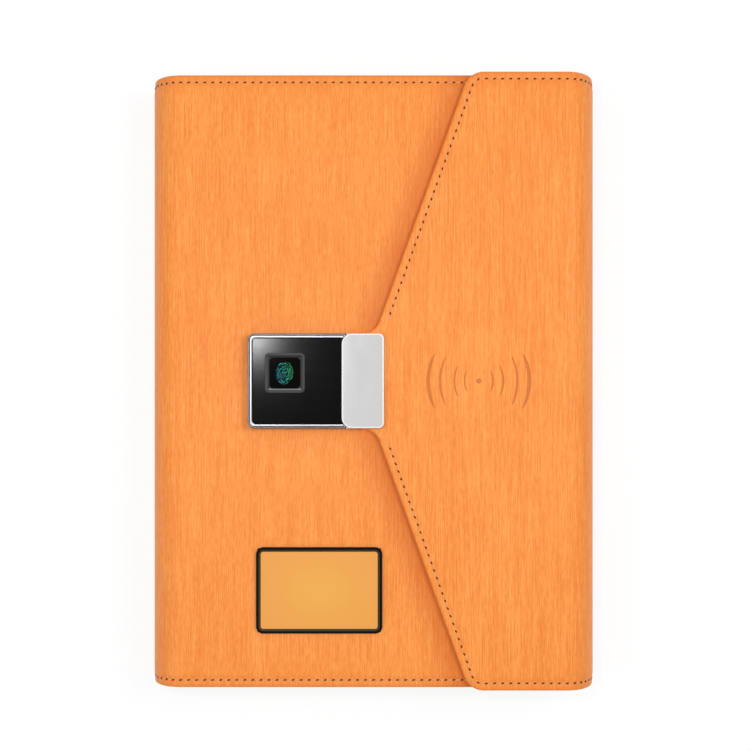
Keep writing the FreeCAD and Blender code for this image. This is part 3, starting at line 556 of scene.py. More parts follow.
# A painted warm glow for the inner slopes of the badge's ring.
panel_glow_slope_paint = moulded("badge_slope_painted_glow", "black_satin", "3D3626", "4A4231", 0.45, Specular_IOR_Level=0.1)
face_gloss = black_glass()
# Black for the line in the lock's rim, painted shade for its groove.
groove_shade_finish = moulded("rim_groove_painted_shade", "black_satin", "050505", "0A0A0A", 0.5, Specular_IOR_Level=0.1)
steel = polished_metal("plain_steel", "steel", "8C8F92", "A9ACAF", 0.3)
brass = polished_metal("turned_brass", "brass", "B08A45", "CFA65C", 0.24)
copper = polished_metal("wound_copper", "copper", "A85C35", "C4764A", 0.3)
gloss_black = moulded("gloss_black_rim", "black_gloss", "060606", "0B0B0B", 0.24, 0.0004, 0.00001,
                      Specular_IOR_Level=0.06)
satin_black = moulded("satin_bezel", "black_satin", "29292A", "333334", 0.3, 0.0003, 0.00001,
                      Specular_IOR_Level=0.2)
tray_grey = moulded("moulded_tray", "tray", "3B3D40", "4A4C50", 0.5)
cell_wrap = moulded("cell_wrap", "cells", "A9B2BC", "C3CAD2", 0.36, 0.0008, 0.00006)
ferrite = moulded("ferrite_sheet", "ferrite", "26282A", "34373A", 0.6, 0.0005, 0.00005)


# Handling pieces on the bench

def put_down():
    """Leave edit mode with nothing selected."""
    if bpy.context.mode != "OBJECT":
        bpy.ops.object.mode_set(mode="OBJECT")
    bpy.ops.object.select_all(action="DESELECT")


def take(piece):
    put_down()
    piece.select_set(True)
    bpy.context.view_layer.objects.active = piece


def named(name):
    """The piece that was just added, with its place in its mesh."""
    piece = bpy.context.object
    piece.name = name
    piece.data.name = name
    bpy.ops.object.transform_apply()
    return piece


def middle(part):
    return sum((point.co for point in part.verts), Vector()) / len(part.verts)


def pick(piece, kind, test=lambda part: True):
    """Edit the piece, with the edges, faces or points selected that pass the test."""
    if bpy.context.mode != "EDIT_MESH":
        take(piece)
        bpy.ops.object.mode_set(mode="EDIT")
    bpy.ops.mesh.select_mode(type=kind)
    bpy.ops.mesh.select_all(action="DESELECT")
    shape = bmesh.from_edit_mesh(piece.data)
    for part in {"VERT": shape.verts, "EDGE": shape.edges, "FACE": shape.faces}[kind]:
        if test(part):
            part.select_set(True)
    shape.select_flush_mode()
    bmesh.update_edit_mesh(piece.data)


def use(piece, kind, **settings):
    """Add a modifier with these settings and apply it."""
    take(piece)
    modifier = piece.modifiers.new(kind.lower(), kind)
    for key, value in settings.items():
        setattr(modifier, key, value)
    bpy.ops.object.modifier_apply(modifier=modifier.name)


def cut(piece, cutter):
    use(piece, "BOOLEAN", object=cutter, operation="DIFFERENCE", solver="EXACT")
    bpy.data.objects.remove(cutter)


def thicken(piece, thick):
    """Give a sheet its thickness, on the side away from its face."""
    use(piece, "SOLIDIFY", thickness=thick * MM, offset=-1.0, use_even_offset=True)


def pull(way):
    """Draw what is selected out by this much."""
    bpy.ops.mesh.extrude_region_move(TRANSFORM_OT_translate={"value": way})


def block(name, low, high):
    put_down()
    low, high = Vector(low) * MM, Vector(high) * MM
    bpy.ops.mesh.primitive_cube_add(size=1, location=(low + high) / 2)
    bpy.context.object.scale = high - low
    return named(name)


def soften(piece, test, width, segments=4):
    """Round the edges that pass the test."""
    pick(piece, "EDGE", test)
    bpy.ops.mesh.bevel(offset=width * MM, segments=segments, clamp_overlap=True)
    put_down()


def upright(edge):
    return abs(edge.verts[0].co.z - edge.verts[1].co.z) > TOUCH


def at_level(edge, level):
    return all(abs(point.co.z - level * MM) < TOUCH for point in edge.verts)


def creased(edge):
    """Whether the faces at an edge lean differently."""
    return len({round(face.normal.z, 1) for face in edge.link_faces}) > 1


def draw_line(name, points, closed=False):
    """A bent line through the points, drawn by pulling one point on to the next."""
    put_down()
    bpy.ops.mesh.primitive_plane_add(size=MM, location=points[0])
    piece = named(name)
    bpy.ops.object.mode_set(mode="EDIT")
    bpy.ops.mesh.select_mode(type="VERT")
    bpy.ops.mesh.select_all(action="SELECT")
    bpy.ops.mesh.merge(type="CENTER")
    for start, end in zip(points, points[1:]):
        bpy.ops.mesh.extrude_vertices_move(TRANSFORM_OT_translate={"value": end - start})
    if closed:
        ends = (points[0], points[-1])
        pick(piece, "VERT", lambda point: min((point.co - end).length for end in ends) < TOUCH)
        bpy.ops.mesh.edge_face_add()
    return piece


def agree(piece):
    """Make all faces turn the same way, outward where the piece is closed."""
    pick(piece, "FACE")
    bpy.ops.mesh.normals_make_consistent(inside=False)


def face_out(piece, way):
    """Make the faces agree, with the largest of those that lie across the way facing along it."""
    agree(piece)
    shape = bmesh.from_edit_mesh(piece.data)
    widest = max(shape.faces, key=lambda face: face.calc_area() * abs(face.normal.dot(way)))
    if widest.normal.dot(way) < 0:
        bpy.ops.mesh.flip_normals()
    put_down()


def settle(piece, finish, body, *nodes, flat_top=False):
    """Shade the piece, give it its finish, and hang it on its body in place of the nodes."""
    take(piece)
    bpy.ops.object.shade_smooth_by_angle(angle=math.radians(35))
    if flat_top:
        use(piece, "WEIGHTED_NORMAL", weight=100, keep_sharp=True)
    if not piece.data.materials:
        piece.data.materials.append(finish.sheet)
    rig.slot(piece, finish.slot)
    if nodes:
        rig.replaces(piece, *nodes)
    if isinstance(body, dict):
        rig.blend(piece, **body)
    else:
        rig.ride(piece, body)


def join(name, pieces):
    take(pieces[0])
    for piece in pieces:
        piece.select_set(True)
    bpy.ops.object.join()
    return named(name)


# The leather wrap

# The wall below a fold's hem, and how far down the front cover's shut end is rounded, and by how much
FOLD_WALL, END_WALL, END_ROUND = 2.0, 2.0, 1.0


def section(half, wall):
    """A panel or fold cut across, from edge to edge, with a hem on either side and a wall below it."""
    side = [(-half, wall)] + [(inward - half, deep) for inward, deep in HEM]
    return side + [(-across, deep) for across, deep in reversed(side)]


def flat(face, inward, standing=False):
    """Places on a flat panel with its face at this level, or this far across where the panel stands."""
    def at(along, across, deep):
        level = face + inward * deep
        return Vector((level, across, along) if standing else (along, across, level)) * MM
    return at


# Each body's flat panel: its places, the two ends that it runs between, and half its length
SPANS = {
    "back_cover": (flat(0.0, 1), -FOLD_LINE, FOLD_LINE, COVER_HALF),
    "front_cover": (flat(FRONT_FACE, -1), -FOLD_LINE, FOLD_LINE, COVER_HALF),
    "spine": (flat(SPINE_FACE, 1, standing=True), LOW_TURN, SPINE_TURN, COVER_HALF),
    "fore_edge": (flat(FORE_FACE, -1, standing=True), LOW_TURN, FLAP_TURN, FLAP_HALF),
}


def round_fold(centre_x, centre_z, rise=FOLD_REACH):
    """Places on a round or oval fold about a line along the notebook: along is the angle in degrees."""
    def at(along, across, deep):
        turn = math.radians(along)
        out, up = (FOLD_REACH - deep) * math.cos(turn), (rise - deep) * math.sin(turn)
        return Vector((centre_x + out, across, centre_z + up)) * MM
    return at


def leather_panel(name, at, start, end, half, wall, thick, shut_end=False):
    piece = draw_line(name, [at(start, across, deep) for across, deep in section(half, wall)])
    pick(piece, "EDGE")
    pull(at(end, 0, 0) - at(start, 0, 0))
    if shut_end:
        last = at(end, 0, 0).x
        pick(piece, "VERT", lambda point: abs(point.co.x - last) < TOUCH)
        bpy.ops.mesh.edge_face_add()
        level = at(end, 0, END_WALL).z
        soften(piece, lambda edge: all(abs(point.co.x - last) < TOUCH and point.co.z > level
                                       for point in edge.verts), END_ROUND)
    face_out(piece, at(start, 0, 0) - at(start, 0, 1))
    thicken(piece, thick)
    return piece


def leather_fold(name, centre_x, centre_z, rise, start, end, half):
    """The section spun through a quarter turn, and then drawn up layer by layer where the fold is tall."""
    edge = section(half, FOLD_WALL)
    at = round_fold(centre_x, centre_z)
    centre = at(start, 0, FOLD_REACH)
    piece = draw_line(name, [at(start, across, deep) for across, deep in edge], closed=True)
    pick(piece, "EDGE")
    bpy.ops.mesh.spin(steps=14, angle=math.radians(end - start), center=centre, axis=(0, 1, 0))
    pick(piece, "EDGE", lambda edge: edge.is_boundary or edge.is_wire)
    bpy.ops.mesh.edge_face_add()
    pick(piece, "FACE")
    bpy.ops.mesh.remove_doubles(threshold=TOUCH)
    agree(piece)
    for deep in sorted({deep for across, deep in edge}):
        layer = (FOLD_REACH - deep) * MM
        pick(piece, "VERT", lambda point: abs((point.co - centre).xz.length - layer) < TOUCH)
        bpy.ops.transform.resize(value=(1, 1, (rise - deep) / (FOLD_REACH - deep)), center_override=centre)
    put_down()
    return piece


def bend(centre_x, centre_z, rise, start, end, first_body, second_body):
    """How a fold follows the two bodies that it joins, the first at its start and the second at its end."""
    at = round_fold(centre_x, centre_z, rise)
    return dict(a=first_body, b=second_body, start=at(start, 0, 0), end=at(end, 0, 0))


# Each fold: its centre line, its rise, the angles that it runs between, half its length, and its two bodies
FOLDS = {
    "spine_lower_fold": (-FOLD_LINE, LOW_TURN, FOLD_REACH, 180, 270, COVER_HALF, "spine", "back_cover"),
    "spine_upper_fold": (-FOLD_LINE, SPINE_TURN, SPINE_RISE, 90, 180, COVER_HALF, "front_cover", "spine"),
    "fore_edge_lower_fold": (FOLD_LINE, LOW_TURN, FOLD_REACH, 270, 360, FLAP_HALF, "back_cover", "fore_edge"),
    "fore_edge_upper_fold": (FOLD_LINE, FLAP_TURN, FLAP_RISE, 0, 90, FLAP_HALF, "fore_edge", "flap"),
}


# What is cut in the front cover: slots in its foot as (x, width, height, corner), and wells through its face
SLOT_LEVEL, SLOT_REACH = 27.0, 2.0
PORT_SLOT, BUTTON_SLOT = (30.0, 9.54, 3.8, 1.85), (50.0, 7.3, 3.1, 1.0)
WELL_LOW, WELL_HIGH = FRONT_FACE - 2.0, FRONT_FACE + 1.0
LOCK_WELL_LEFT, LOCK_WELL_RIGHT, LOCK_WELL_HALF, BADGE_LAP = -46.2, -5.0, 15.2, 0.45


def slot_cutter(name, x, width, height, corner):
    low = (x - width / 2, -COVER_HALF - SLOT_REACH / 2, SLOT_LEVEL - height / 2)
    high = (x + width / 2, -COVER_HALF + SLOT_REACH, SLOT_LEVEL + height / 2)
    cutter = block(name, low, high)
    soften(cutter, lambda edge: abs(edge.verts[0].co.y - edge.verts[1].co.y) > MM, corner, 5)
    return cutter


def well_cutter(name, left, right, foot, head):
    return block(name, (left, foot, WELL_LOW), (right, head, WELL_HIGH))


def front_cover_leather():
    cover = leather_panel("front_cover_leather", flat(FRONT_FACE, -1), -FOLD_LINE, FRONT_END, COVER_HALF,
                          FRONT_FACE - front_low[2], LEATHER, shut_end=True)
    low, high = corners("badge_frame")
    for cutter in (slot_cutter("charging_port_cut", *PORT_SLOT), slot_cutter("button_cut", *BUTTON_SLOT),
                   well_cutter("lock_cut", LOCK_WELL_LEFT, LOCK_WELL_RIGHT, -LOCK_WELL_HALF, LOCK_WELL_HALF),
                   well_cutter("badge_cut", low[0] + BADGE_LAP, high[0] - BADGE_LAP,
                               low[1] + BADGE_LAP, high[1] - BADGE_LAP)):
        cut(cover, cutter)
    settle(cover, cover_hide, "front_cover", "front_leather")


def flap_leather():
    """The flap: a tongue, two slanted shoulders and a straight side, with the hem pressed all round.
    It is made too long at both ends, which are cut square after the hem is pressed."""
    underside = flap_low[2]
    place = ((TONGUE_START + TONGUE_END) / 2 * MM, 0, underside * MM)
    put_down()
    bpy.ops.mesh.primitive_plane_add(size=1, location=place)
    bpy.context.object.scale = ((TONGUE_END - TONGUE_START) * MM, 2 * TONGUE_HALF * MM, 1)
    flap = named("flap_leather_panel")
    pick(flap, "EDGE", lambda edge: middle(edge).x > (TONGUE_END - 0.1) * MM)
    pull((SHOULDER_RUN * MM, 0, 0))
    bpy.ops.transform.resize(value=(1, FLAP_HALF / TONGUE_HALF, 1))
    pull(((FORE_FACE - SHOULDER_END) * MM, 0, 0))
    pick(flap, "EDGE", lambda edge: len(edge.link_faces) == 2)
    bpy.ops.mesh.dissolve_edges(use_verts=False)
    for x, rounding in ((SHOULDER_END, SHOULDER_ROUND), (TONGUE_END, TONGUE_ROUND)):
        pick(flap, "VERT", lambda point: abs(point.co.x - x * MM) < TOUCH)
        bpy.ops.mesh.bevel(offset=rounding * math.tan(SLANT / 2) * MM, segments=10, affect="VERTICES")
    pick(flap, "FACE")
    rim_low = FLAP_FACE - HEM[0][1]
    pull((0, 0, (rim_low - underside) * MM))
    for (near, low), (far, high) in zip(HEM, HEM[1:]):
        bpy.ops.mesh.inset(thickness=(far - near) * MM)
        bpy.ops.transform.translate(value=(0, 0, (low - high) * MM))
    pick(flap, "FACE", lambda face: middle(face).z < (underside + 0.01) * MM and abs(face.normal.z) > 0.9)
    bpy.ops.mesh.inset(thickness=FLAP_TURNED * MM)
    pull((0, 0, FLAP_HOLLOW * MM))
    for end, way in ((flap_high[0], 1), (flap_low[0], -1)):
        pick(flap, "FACE")
        bpy.ops.mesh.bisect(plane_co=(end * MM, 0, 0), plane_no=(way, 0, 0), clear_outer=True, use_fill=True)
    agree(flap)
    put_down()
    return flap


def card_pocket_leaves():
    leaves = []
    for step, top in enumerate(POCKET_TOPS):
        low = POCKET_BACK - POCKET_LEAF * (step + 1)
        leaf = block(f"card_leaf_{step}", (POCKET_LEFT, POCKET_FOOT, low + LEAF_CLEAR),
                     (POCKET_RIGHT, top, low + POCKET_LEAF))
        soften(leaf, upright, LEAF_CORNER)
        soften(leaf, lambda edge: not upright(edge) and middle(edge).z < (low + LEAF_SOFT) * MM, LEAF_SOFT, 2)
        leaves.append(leaf)
    settle(join("card_pocket_leaves", leaves), pocket_hide, "front_cover", "card_pockets")


def insert_sleeve():
    """The leather sleeve that the notebook's back card slides into, open on its left."""
    low, high = corners("insert_sleeve")
    left, foot, top = low[0] * MM + TOUCH, low[2] * MM + TOUCH, high[2] * MM - TOUCH
    sleeve = block("insert_holder", low, high)
    soften(sleeve, lambda edge: upright(edge) and middle(edge).x > left, SLEEVE_CORNER)
    soften(sleeve, lambda edge: middle(edge).z > top and middle(edge).x > left, SLEEVE_ROUND, 3)
    pick(sleeve, "FACE", lambda face: middle(face).z < foot or middle(face).x < left)
    bpy.ops.mesh.delete(type="FACE")
    face_out(sleeve, UP)
    thicken(sleeve, SLEEVE_LEATHER)
    settle(sleeve, pocket_hide, "back_cover", "insert_sleeve")


# The lock, the badge and the clasp

# The black line in the lock's rim, painted shade for a groove: how far out from the face it lies, its width, depth,
# rise and corners
LINE_OUT, LINE_WIDTH, LINE_DEEP, LINE_PROUD = 1.05, 0.42, 0.4, 0.02
LINE_CORNER, LINE_END_CORNER, LINE_SOFT = 1.95, 0.5, 0.06


def lock_rim_groove_shade():
    """A thin black line let into the polished rim of the lock's frame, as painted shade standing for a groove in the
    rim.
    """
    low = (face_low[0] - LINE_OUT, face_low[1] - LINE_OUT, FACE_TOP - LINE_DEEP)
    high = (face_high[0] + LINE_OUT, face_high[1] + LINE_OUT, FACE_TOP + LINE_PROUD)
    groove_line = block("lock_rim_groove_shade", low, high)
    soften(groove_line, lambda edge: upright(edge) and middle(edge).x < face_low[0] * MM, LINE_CORNER, 7)
    soften(groove_line, lambda edge: upright(edge) and middle(edge).x > face_high[0] * MM, LINE_END_CORNER, 3)
    for way in (1, -1):
        pick(groove_line, "FACE", lambda face: face.normal.z * way > 0.9)
        bpy.ops.mesh.inset(thickness=LINE_WIDTH * MM)
        bpy.ops.mesh.delete(type="FACE")
    pick(groove_line, "EDGE", lambda edge: edge.is_boundary)
    bpy.ops.mesh.bridge_edge_loops()
    agree(groove_line)
    soften(groove_line, lambda edge: at_level(edge, FACE_TOP + LINE_PROUD) and creased(edge), LINE_SOFT, 2)
    settle(groove_line, groove_shade_finish, "front_cover")


def paint(piece, finish, test):
    """Give the faces that pass the test a finish of their own."""
    piece.data.materials.append(finish.sheet)
    pick(piece, "FACE", test)
    piece.active_material_index = len(piece.data.materials) - 1
    bpy.ops.object.material_slot_assign()
    put_down()


RING_SUNK = 0.1


def sloped_ring(name, node, seat, finish, corner, rim, slope, drop, soft):
    """A ring of a node's outline, let a little into the seat below it.
    It has round corners, a narrow flat top and an inside that slopes down."""
    low, high = corners(node)
    ring = block(name, (*low[:2], seat - RING_SUNK), high)
    ring.data.materials.append(finish.sheet)
    soften(ring, upright, corner, 7)
    pick(ring, "FACE", lambda face: face.normal.z > 0.9)
    bpy.ops.mesh.inset(thickness=rim * MM)
    bpy.ops.mesh.inset(thickness=slope * MM, depth=-drop * MM)
    bpy.ops.mesh.delete(type="FACE")
    soften(ring, lambda edge: at_level(edge, high[2]) and creased(edge), soft, 3)
    return ring


# The lock's glass: its edge, half its window, and its end, which laps the plate, runs on and stands proud
GLASS_CORNER, GLASS_BEVEL, WINDOW_HALF = 1.6, 0.4, 7.1
GLASS_LAP, GLASS_RUN, GLASS_CLEAR, GLASS_PROUD = 1.8, 1.5, 0.025, 0.06


def lock_glass():
    """The black face: a plate with round corners and a bevelled edge, open under the sensor.
    A thin end of the glass runs on over the frame and under the clasp."""
    low, high = Vector(face_low), Vector(face_high)
    plate = block("glass_plate", low, high)
    soften(plate, upright, GLASS_CORNER, 6)
    soften(plate, lambda edge: at_level(edge, FACE_TOP), GLASS_BEVEL, 3)
    x, y = sensor_middle.x / MM, sensor_middle.y / MM
    half = WINDOW_HALF
    window = block("sensor_cut", (x - half, y - half, low.z - 1), (x + half, y + half, high.z + 1))
    cut(plate, window)
    end = block("glass_end", (high.x - GLASS_LAP, low.y, high.z + GLASS_CLEAR),
                (high.x + GLASS_RUN, high.y, high.z + GLASS_PROUD))
    settle(join("lock_glass", [plate, end]), face_gloss, "front_cover", "lock_face", flat_top=True)


def sensor_bezel():
    """The sensor's satin ring, with a painted highlight: a lighter polished metal on the slopes that face the head."""
    ring = sloped_ring("sensor_bezel_ring", "sensor_bezel", FACE_TOP, satin_black,
                       corner=1.7, rim=1.0, slope=0.85, drop=0.48, soft=0.2)
    # Painted highlight: only the slopes facing the head take the lighter metal, as if they caught the light.
    paint(ring, sensor_slope_painted_highlight, lambda face: 0.1 < face.normal.z < 0.9 and face.normal.y > 0.3)
    settle(ring, satin_black, "front_cover", "sensor_bezel", flat_top=True)


def badge_bezel():
    """The badge's glossy ring, whose inner slopes carry a painted glow in the panel's warm colour."""
    ring = sloped_ring("badge_bezel_ring", "badge_frame", FRONT_FACE, gloss_black,
                       corner=2.7, rim=0.95, slope=0.8, drop=0.56, soft=0.16)
    # Painted glow: the inner slopes that face the panel take a dim warm colour, as if lit by it.
    paint(ring, panel_glow_slope_paint, lambda face: 0.1 < face.normal.z < 0.93
          and (middle(face) - lens_middle).dot(Vector((face.normal.x, face.normal.y, 0))) < 0)
    settle(ring, gloss_black, "front_cover", "badge_frame", flat_top=True)


# The clasp: its lip's thickness, how far the lip reaches past the foot, and how deep the foot sinks into it
CLASP_LIP, CLASP_REACH, CLASP_SUNK = 0.9, 1.9, 0.05
CLASP_CORNER, CLASP_END_CORNER, CLASP_BEVEL = 4.0, 2.0, 0.55


def clasp():
    """The silver clasp: a plate that laps the lock on its left, with a painted highlight, a near-white finish, on the
    bevel round its top.
    """
    low, high = corners("clasp_plate")
    right, lip_low = high[0] * MM - TOUCH, high[2] - CLASP_LIP
    plate = block("clasp_lip", (*low[:2], lip_low), high)
    plate.data.materials.append(silver.sheet)
    soften(plate, lambda edge: upright(edge) and middle(edge).x < 0, CLASP_CORNER, 8)
    soften(plate, lambda edge: upright(edge) and middle(edge).x > right, CLASP_END_CORNER, 6)
    soften(plate, lambda edge: at_level(edge, high[2]), CLASP_BEVEL, 3)
    # Painted highlight: the bevel takes a near-white finish for the light that it catches.
    paint(plate, clasp_bevel_highlight_paint, lambda face: 0.05 < face.normal.z < 0.97)
    foot = block("clasp_foot", (low[0] + CLASP_REACH, *low[1:]), (*high[:2], lip_low + CLASP_SUNK))
    soften(foot, lambda edge: upright(edge) and middle(edge).x > right, CLASP_END_CORNER, 6)
    foot.data.materials.append(silver.sheet)
    settle(join("clasp_body", [plate, foot]), silver, "flap", "clasp_plate", flat_top=True)


# Sewing

# A stitch: its pitch, its rise in the groove, the half sizes of its thread and hole, and the hole's lean
STITCH, STITCH_PROUD = 3.083, 0.1
THREAD_HALF, HOLE_HALF, HOLE_LEAN = (1.08, 0.25, 0.22), (0.63, 0.35, 0.16), math.radians(16)


def pip(name, half_sizes, rings, x, lean, finish):
    """A small oval bead on the X axis."""
    put_down()
    bpy.ops.mesh.primitive_uv_sphere_add(segments=8, ring_count=rings, radius=MM, location=(x * MM, 0, 0))
    bpy.context.object.scale = half_sizes
    bpy.context.object.rotation_euler = (0, 0, lean)
    bead = named(name)
    bead.data.materials.append(finish.sheet)
    return bead


def one_stitch():
    """A thread lying along X between two needle holes, of which it carries the first."""
    dash = pip("thread_dash", THREAD_HALF, 6, 0.0, 0.0, thread)
    # The needle hole: a dark bead of painted shade.
    hole = pip("needle_prick", HOLE_HALF, 5, -STITCH / 2, HOLE_LEAN, pinprick)
    return join("stitch", [dash, hole])


def stitch_copy():
    take(stitch)
    bpy.ops.object.duplicate()
    return bpy.context.object


def lay(piece, start, run, face):
    """Turn a piece that lies along X on the flat so that it runs and faces these ways from the start."""
    along = run.normalized()
    side = face.cross(along).normalized()
    turn = Matrix((along, side, along.cross(side))).transposed().to_4x4()
    piece.matrix_world = Matrix.Translation(start) @ turn
    take(piece)
    bpy.ops.object.transform_apply()
    return piece


def stitch_row(start, end, face):
    run = end - start
    count = max(1, round(run.length / (STITCH * MM)))
    pitch = run.length / count
    row = stitch_copy()
    use(row, "ARRAY", count=count, use_relative_offset=False, use_constant_offset=True,
        constant_offset_displace=(pitch, 0, 0))
    return lay(row, start + run.normalized() * (pitch / 2), run, face)


def hem_rows(at, start, end, half):
    """A row along either side of a flat panel."""
    face = at(start, 0, 0) - at(start, 0, 1)
    deep = SEAM_DEEP - STITCH_PROUD
    return [stitch_row(at(start, seam, deep), at(end, seam, deep), face)
            for seam in (SEAM_IN - half, half - SEAM_IN)]


def bent_row(points, outs):
    """Stitches evenly spaced along a bent seam, given by close points and the ways that they face."""
    steps = [(second - first).length for first, second in zip(points, points[1:])]
    pitch = sum(steps) / round(sum(steps) / (STITCH * MM))
    row, gone, ahead = [], 0.0, pitch / 2
    for first, second, out, step in zip(points, points[1:], outs, steps):
        while ahead <= gone + step:
            place = first.lerp(second, (ahead - gone) / step)
            row.append(lay(stitch_copy(), place, second - first, out))
            ahead += pitch
        gone += step
    return row


def fold_rows(centre_x, centre_z, rise, start, end, half):
    """A row round either end of a fold."""
    at = round_fold(centre_x, centre_z, rise)
    steps = 30
    turns = [start + (end - start) * step / steps for step in range(steps + 1)]
    outs = [at(turn, 0, 0) - at(turn, 0, 1) for turn in turns]
    rows = []
    for seam in (SEAM_IN - half, half - SEAM_IN):
        rows += bent_row([at(turn, seam, SEAM_DEEP - STITCH_PROUD) for turn in turns], outs)
    return rows


def flap_rows():
    """Along the head or foot, round the corner and down the slanted shoulder as far as the clasp."""
    level = FLAP_FACE - SEAM_DEEP + STITCH_PROUD
    arc, steps = SHOULDER_ROUND - SEAM_IN, 8
    corner_x = SHOULDER_END + SHOULDER_ROUND * math.tan(SLANT / 2)
    corner_y = FLAP_HALF - SHOULDER_ROUND
    turns = [math.pi / 2 + SLANT * step / steps for step in range(steps + 1)]
    seam = [(FOLD_LINE, FLAP_HALF - SEAM_IN)]
    seam += [(corner_x + arc * math.cos(turn), corner_y + arc * math.sin(turn)) for turn in turns]
    x, y = seam[-1]
    seam.append((x - SHOULDER_SEAM * math.cos(SLANT), y - SHOULDER_SEAM * math.sin(SLANT)))
    rows = []
    for side in (-1, 1):
        points = [Vector((x, side * y, level)) * MM for x, y in seam]
        rows += bent_row(points, [UP] * len(points))
    return rows


def pocket_rows():
    """Along each leaf's open edge and down its sides, and along the foot of the outermost leaf."""
    rows = []
    left, right = POCKET_LEFT + POCKET_SEAM, POCKET_RIGHT - POCKET_SEAM
    feet = [*POCKET_TOPS[1:], POCKET_FOOT + POCKET_SEAM]
    for step, (top, foot) in enumerate(zip(POCKET_TOPS, feet)):
        level = POCKET_BACK - POCKET_LEAF * (step + 1) - POCKET_THREAD
        high = top - POCKET_SEAM
        seams = [((left, high), (right, high)), ((left, foot), (left, high)), ((right, foot), (right, high))]
        if step == POCKET_COUNT - 1:
            seams.append(((left, foot), (right, foot)))
        for seam in seams:
            start, end = (Vector((*point, level)) * MM for point in seam)
            rows.append(stitch_row(start, end, -UP))
    return rows


def sewn(name, rows, body):
    settle(join(name, rows), thread, body)


# Making the pieces

PANELS = (
    ("back_cover_leather", "back_cover", "back_leather", back_high[2], LEATHER),
    ("spine_wall_leather", "spine", "spine_leather", spine_high[0] - SPINE_FACE, LEATHER),
    ("fore_edge_wall_leather", "fore_edge", "fore_edge_leather", FORE_FACE - fore_low[0], FORE_LEATHER),
)
for panel_name, body, node_name, wall, thick in PANELS:
    settle(leather_panel(panel_name, *SPANS[body], wall, thick), leather, body, node_name)
front_cover_leather()
settle(flap_leather(), flap_hide, "flap", "flap_leather")
for fold_name, (*arc, half, first_body, second_body) in FOLDS.items():
    fold = leather_fold(f"{fold_name}_leather", *arc, half)
    settle(fold, leather, bend(*arc, first_body, second_body), fold_name)
card_pocket_leaves()
insert_sleeve()

lock_rim_groove_shade()
lock_glass()
sensor_bezel()
badge_bezel()
clasp()

stitch = one_stitch()
for body, span in SPANS.items():
    sewn(f"{body}_stitches", hem_rows(*span), body)
sewn("flap_stitches", flap_rows(), "flap")
sewn("pocket_stitches", pocket_rows(), "front_cover")
for fold_name, (*arc, half, first_body, second_body) in FOLDS.items():
    sewn(f"{fold_name}_stitches", fold_rows(*arc, half), bend(*arc, first_body, second_body))
bpy.data.objects.remove(stitch)

NODE_FINISHES = {
    grey_board(): ("back_board", "spine_board", "fore_edge_board", "flap_board"),
    lining: ("back_lining", "spine_lining", "front_lining", "fore_edge_lining", "flap_lining"),
    kraft_card(): ("insert_back_card", "insert_front_card"),
    page_paper(): ("paper_block",),
    spine_cloth(): ("insert_spine_tape",),
    tray_grey: ("front_tray",),
    cell_wrap: ("battery_cells",),
    circuit_green(): ("power_board", "badge_light_board", "lock_board"),
    steel: ("board_screws", "lock_screws", "usb_socket", "lock_motor", "clasp_hook", "clasp_rivets"),
    brass: ("lead_screw", "lock_bolt"),
    copper: ("charging_coil",),
    ferrite: ("ferrite_sheet",),
    silver: ("power_button",),
    chrome: ("lock_base",),
    fingertip_print(3.7, 4.6): ("fingerprint_sensor",),
    glowing_amber(22.5, 14.8): ("badge_lens",),
}
for finish, names in NODE_FINISHES.items():
    for node_name in names:
        mesh = frame["nodes"][node_name].data
        mesh.materials.clear()
        mesh.materials.append(finish.sheet)


# The studio, in metres: the floor and its white, the room's light, and the camera above the flap

FLOOR_SIZE, FLOOR_DROP, FLOOR_GLOW, ROOM_LIGHT = 6.0, 0.0002, 0.8, 0.48
LAMP_AIM, GLEAM_AIM = (0, 0, 0.02), (-0.04, 0.01, 0.0356)
CAMERA_X, CAMERA_Y, CAMERA_RISE = 0.00077, -0.012, 0.55
VIEW_WIDTH, VIEW_MIDDLE, SENSOR = 0.2864, 0.0021, 36.0


def white_floor():
    """Pale paper that shows as white and keeps the shadow."""
    put_down()
    bpy.ops.mesh.primitive_plane_add(size=FLOOR_SIZE, location=(0, 0, -FLOOR_DROP))
    floor = named("studio_floor")
    paper = Finish("floor_paper", "paper", Specular_IOR_Level=0.0, Roughness=0.9)
    seen = paper.ray("Camera")
    mirrored = paper.ray("Glossy")
    through = paper.ray("Transmission")
    mottle = paper.cloud(0.05)
    stops = [(0.3, (0.86, 0.86, 0.86, 1)), (0.7, (0.87, 0.87, 0.87, 1))]
    paper.feed(Base_Color=paper.node("ShaderNodeValToRGB", {"stops": stops}, {0: mottle}))
    light = paper.node("ShaderNodeEmission", None, {"Color": (1, 1, 1, 1), "Strength": 1.05})
    share = seen.most(mirrored).most(through) * FLOOR_GLOW
    body = Wire(paper, paper.shader.outputs[0])
    both = paper.node("ShaderNodeMixShader", None, {0: share, 1: body, 2: light})
    paper.tree.links.new(both.socket, paper.tree.nodes["Material Output"].inputs[0])
    floor.data.materials.append(paper.sheet)
    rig.stage(floor)


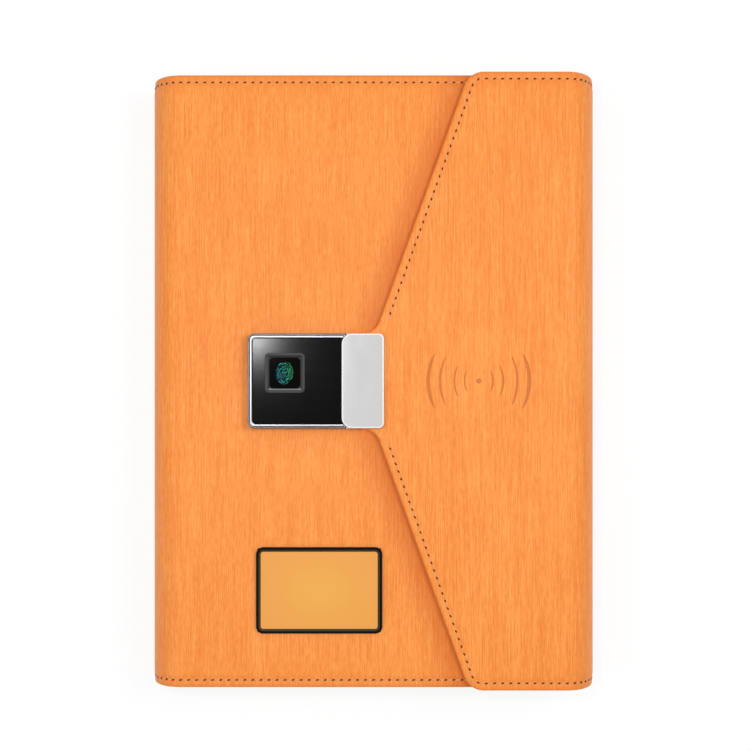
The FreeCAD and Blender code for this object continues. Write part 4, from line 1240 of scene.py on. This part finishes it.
def lamp(name, place, aim, size, power):
    """A round lamp of this width and power, turned to its aim."""
    put_down()
    bpy.ops.object.light_add(type="AREA", location=place)
    light = bpy.context.object
    light.name = name
    light.data.shape = "DISK"
    light.data.size = size
    light.data.energy = power
    way = Vector(aim) - Vector(place)
    light.rotation_euler = way.to_track_quat("-Z", "Y").to_euler()


def studio():
    """A white room that mirrors see as darker low down, and three lamps at a plain level."""
    scene = bpy.context.scene
    world = bpy.data.worlds.new("studio_white")
    scene.world = world
    world.use_nodes = True
    sky = Wiring(world.node_tree)
    seen = sky.ray("Camera")
    mirrored = sky.ray("Glossy")
    mirrored = mirrored.most(sky.ray("Transmission"))
    way = sky.node("ShaderNodeTexCoord", out="Generated")
    lean = (-0.1, 0.5, 1.0)
    height = sky.node("ShaderNodeVectorMath", {"operation": "DOT_PRODUCT"}, {0: way, 1: lean}, "Value")
    overhead = sky.node("ShaderNodeMapRange", None,
                        {"Value": height, "From Min": 0.25, "From Max": 0.85, "To Min": 0.3, "To Max": 1.0})
    level = (1.0 - seen.most(mirrored)) * ROOM_LIGHT + seen + mirrored * overhead
    background = world.node_tree.nodes["Background"]
    background.inputs["Color"].default_value = (1, 1, 1, 1)
    world.node_tree.links.new(level.socket, background.inputs["Strength"])
    lamp("key_lamp", (0.46, 0.12, 0.76), LAMP_AIM, 0.36, 2.6)
    lamp("fill_lamp", (-0.56, -0.1, 0.76), LAMP_AIM, 0.4, 1.4)
    lamp("gleam_lamp", (-0.096, 0.048, 0.584), GLEAM_AIM, 0.03, 0.62)
    scene.view_settings.view_transform = "Standard"


def camera():
    """Straight above, with a view as wide at the flap's face as the photo shows."""
    put_down()
    bpy.ops.object.camera_add(location=(CAMERA_X, CAMERA_Y, FLAP_FACE * MM + CAMERA_RISE), rotation=(0, 0, 0))
    view = bpy.context.object
    view.name = "photo_camera"
    view.data.sensor_width = SENSOR
    view.data.lens = SENSOR * CAMERA_RISE / VIEW_WIDTH
    view.data.shift_y = (VIEW_MIDDLE - CAMERA_Y) / VIEW_WIDTH
    view.data.clip_start = 0.01
    bpy.context.scene.camera = view


white_floor()
studio()
camera()
put_down()
with open("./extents.json", "w") as sizes:
    json.dump({"cad": cad_box, "visual": [list(corner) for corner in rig.bounds()]}, sizes)
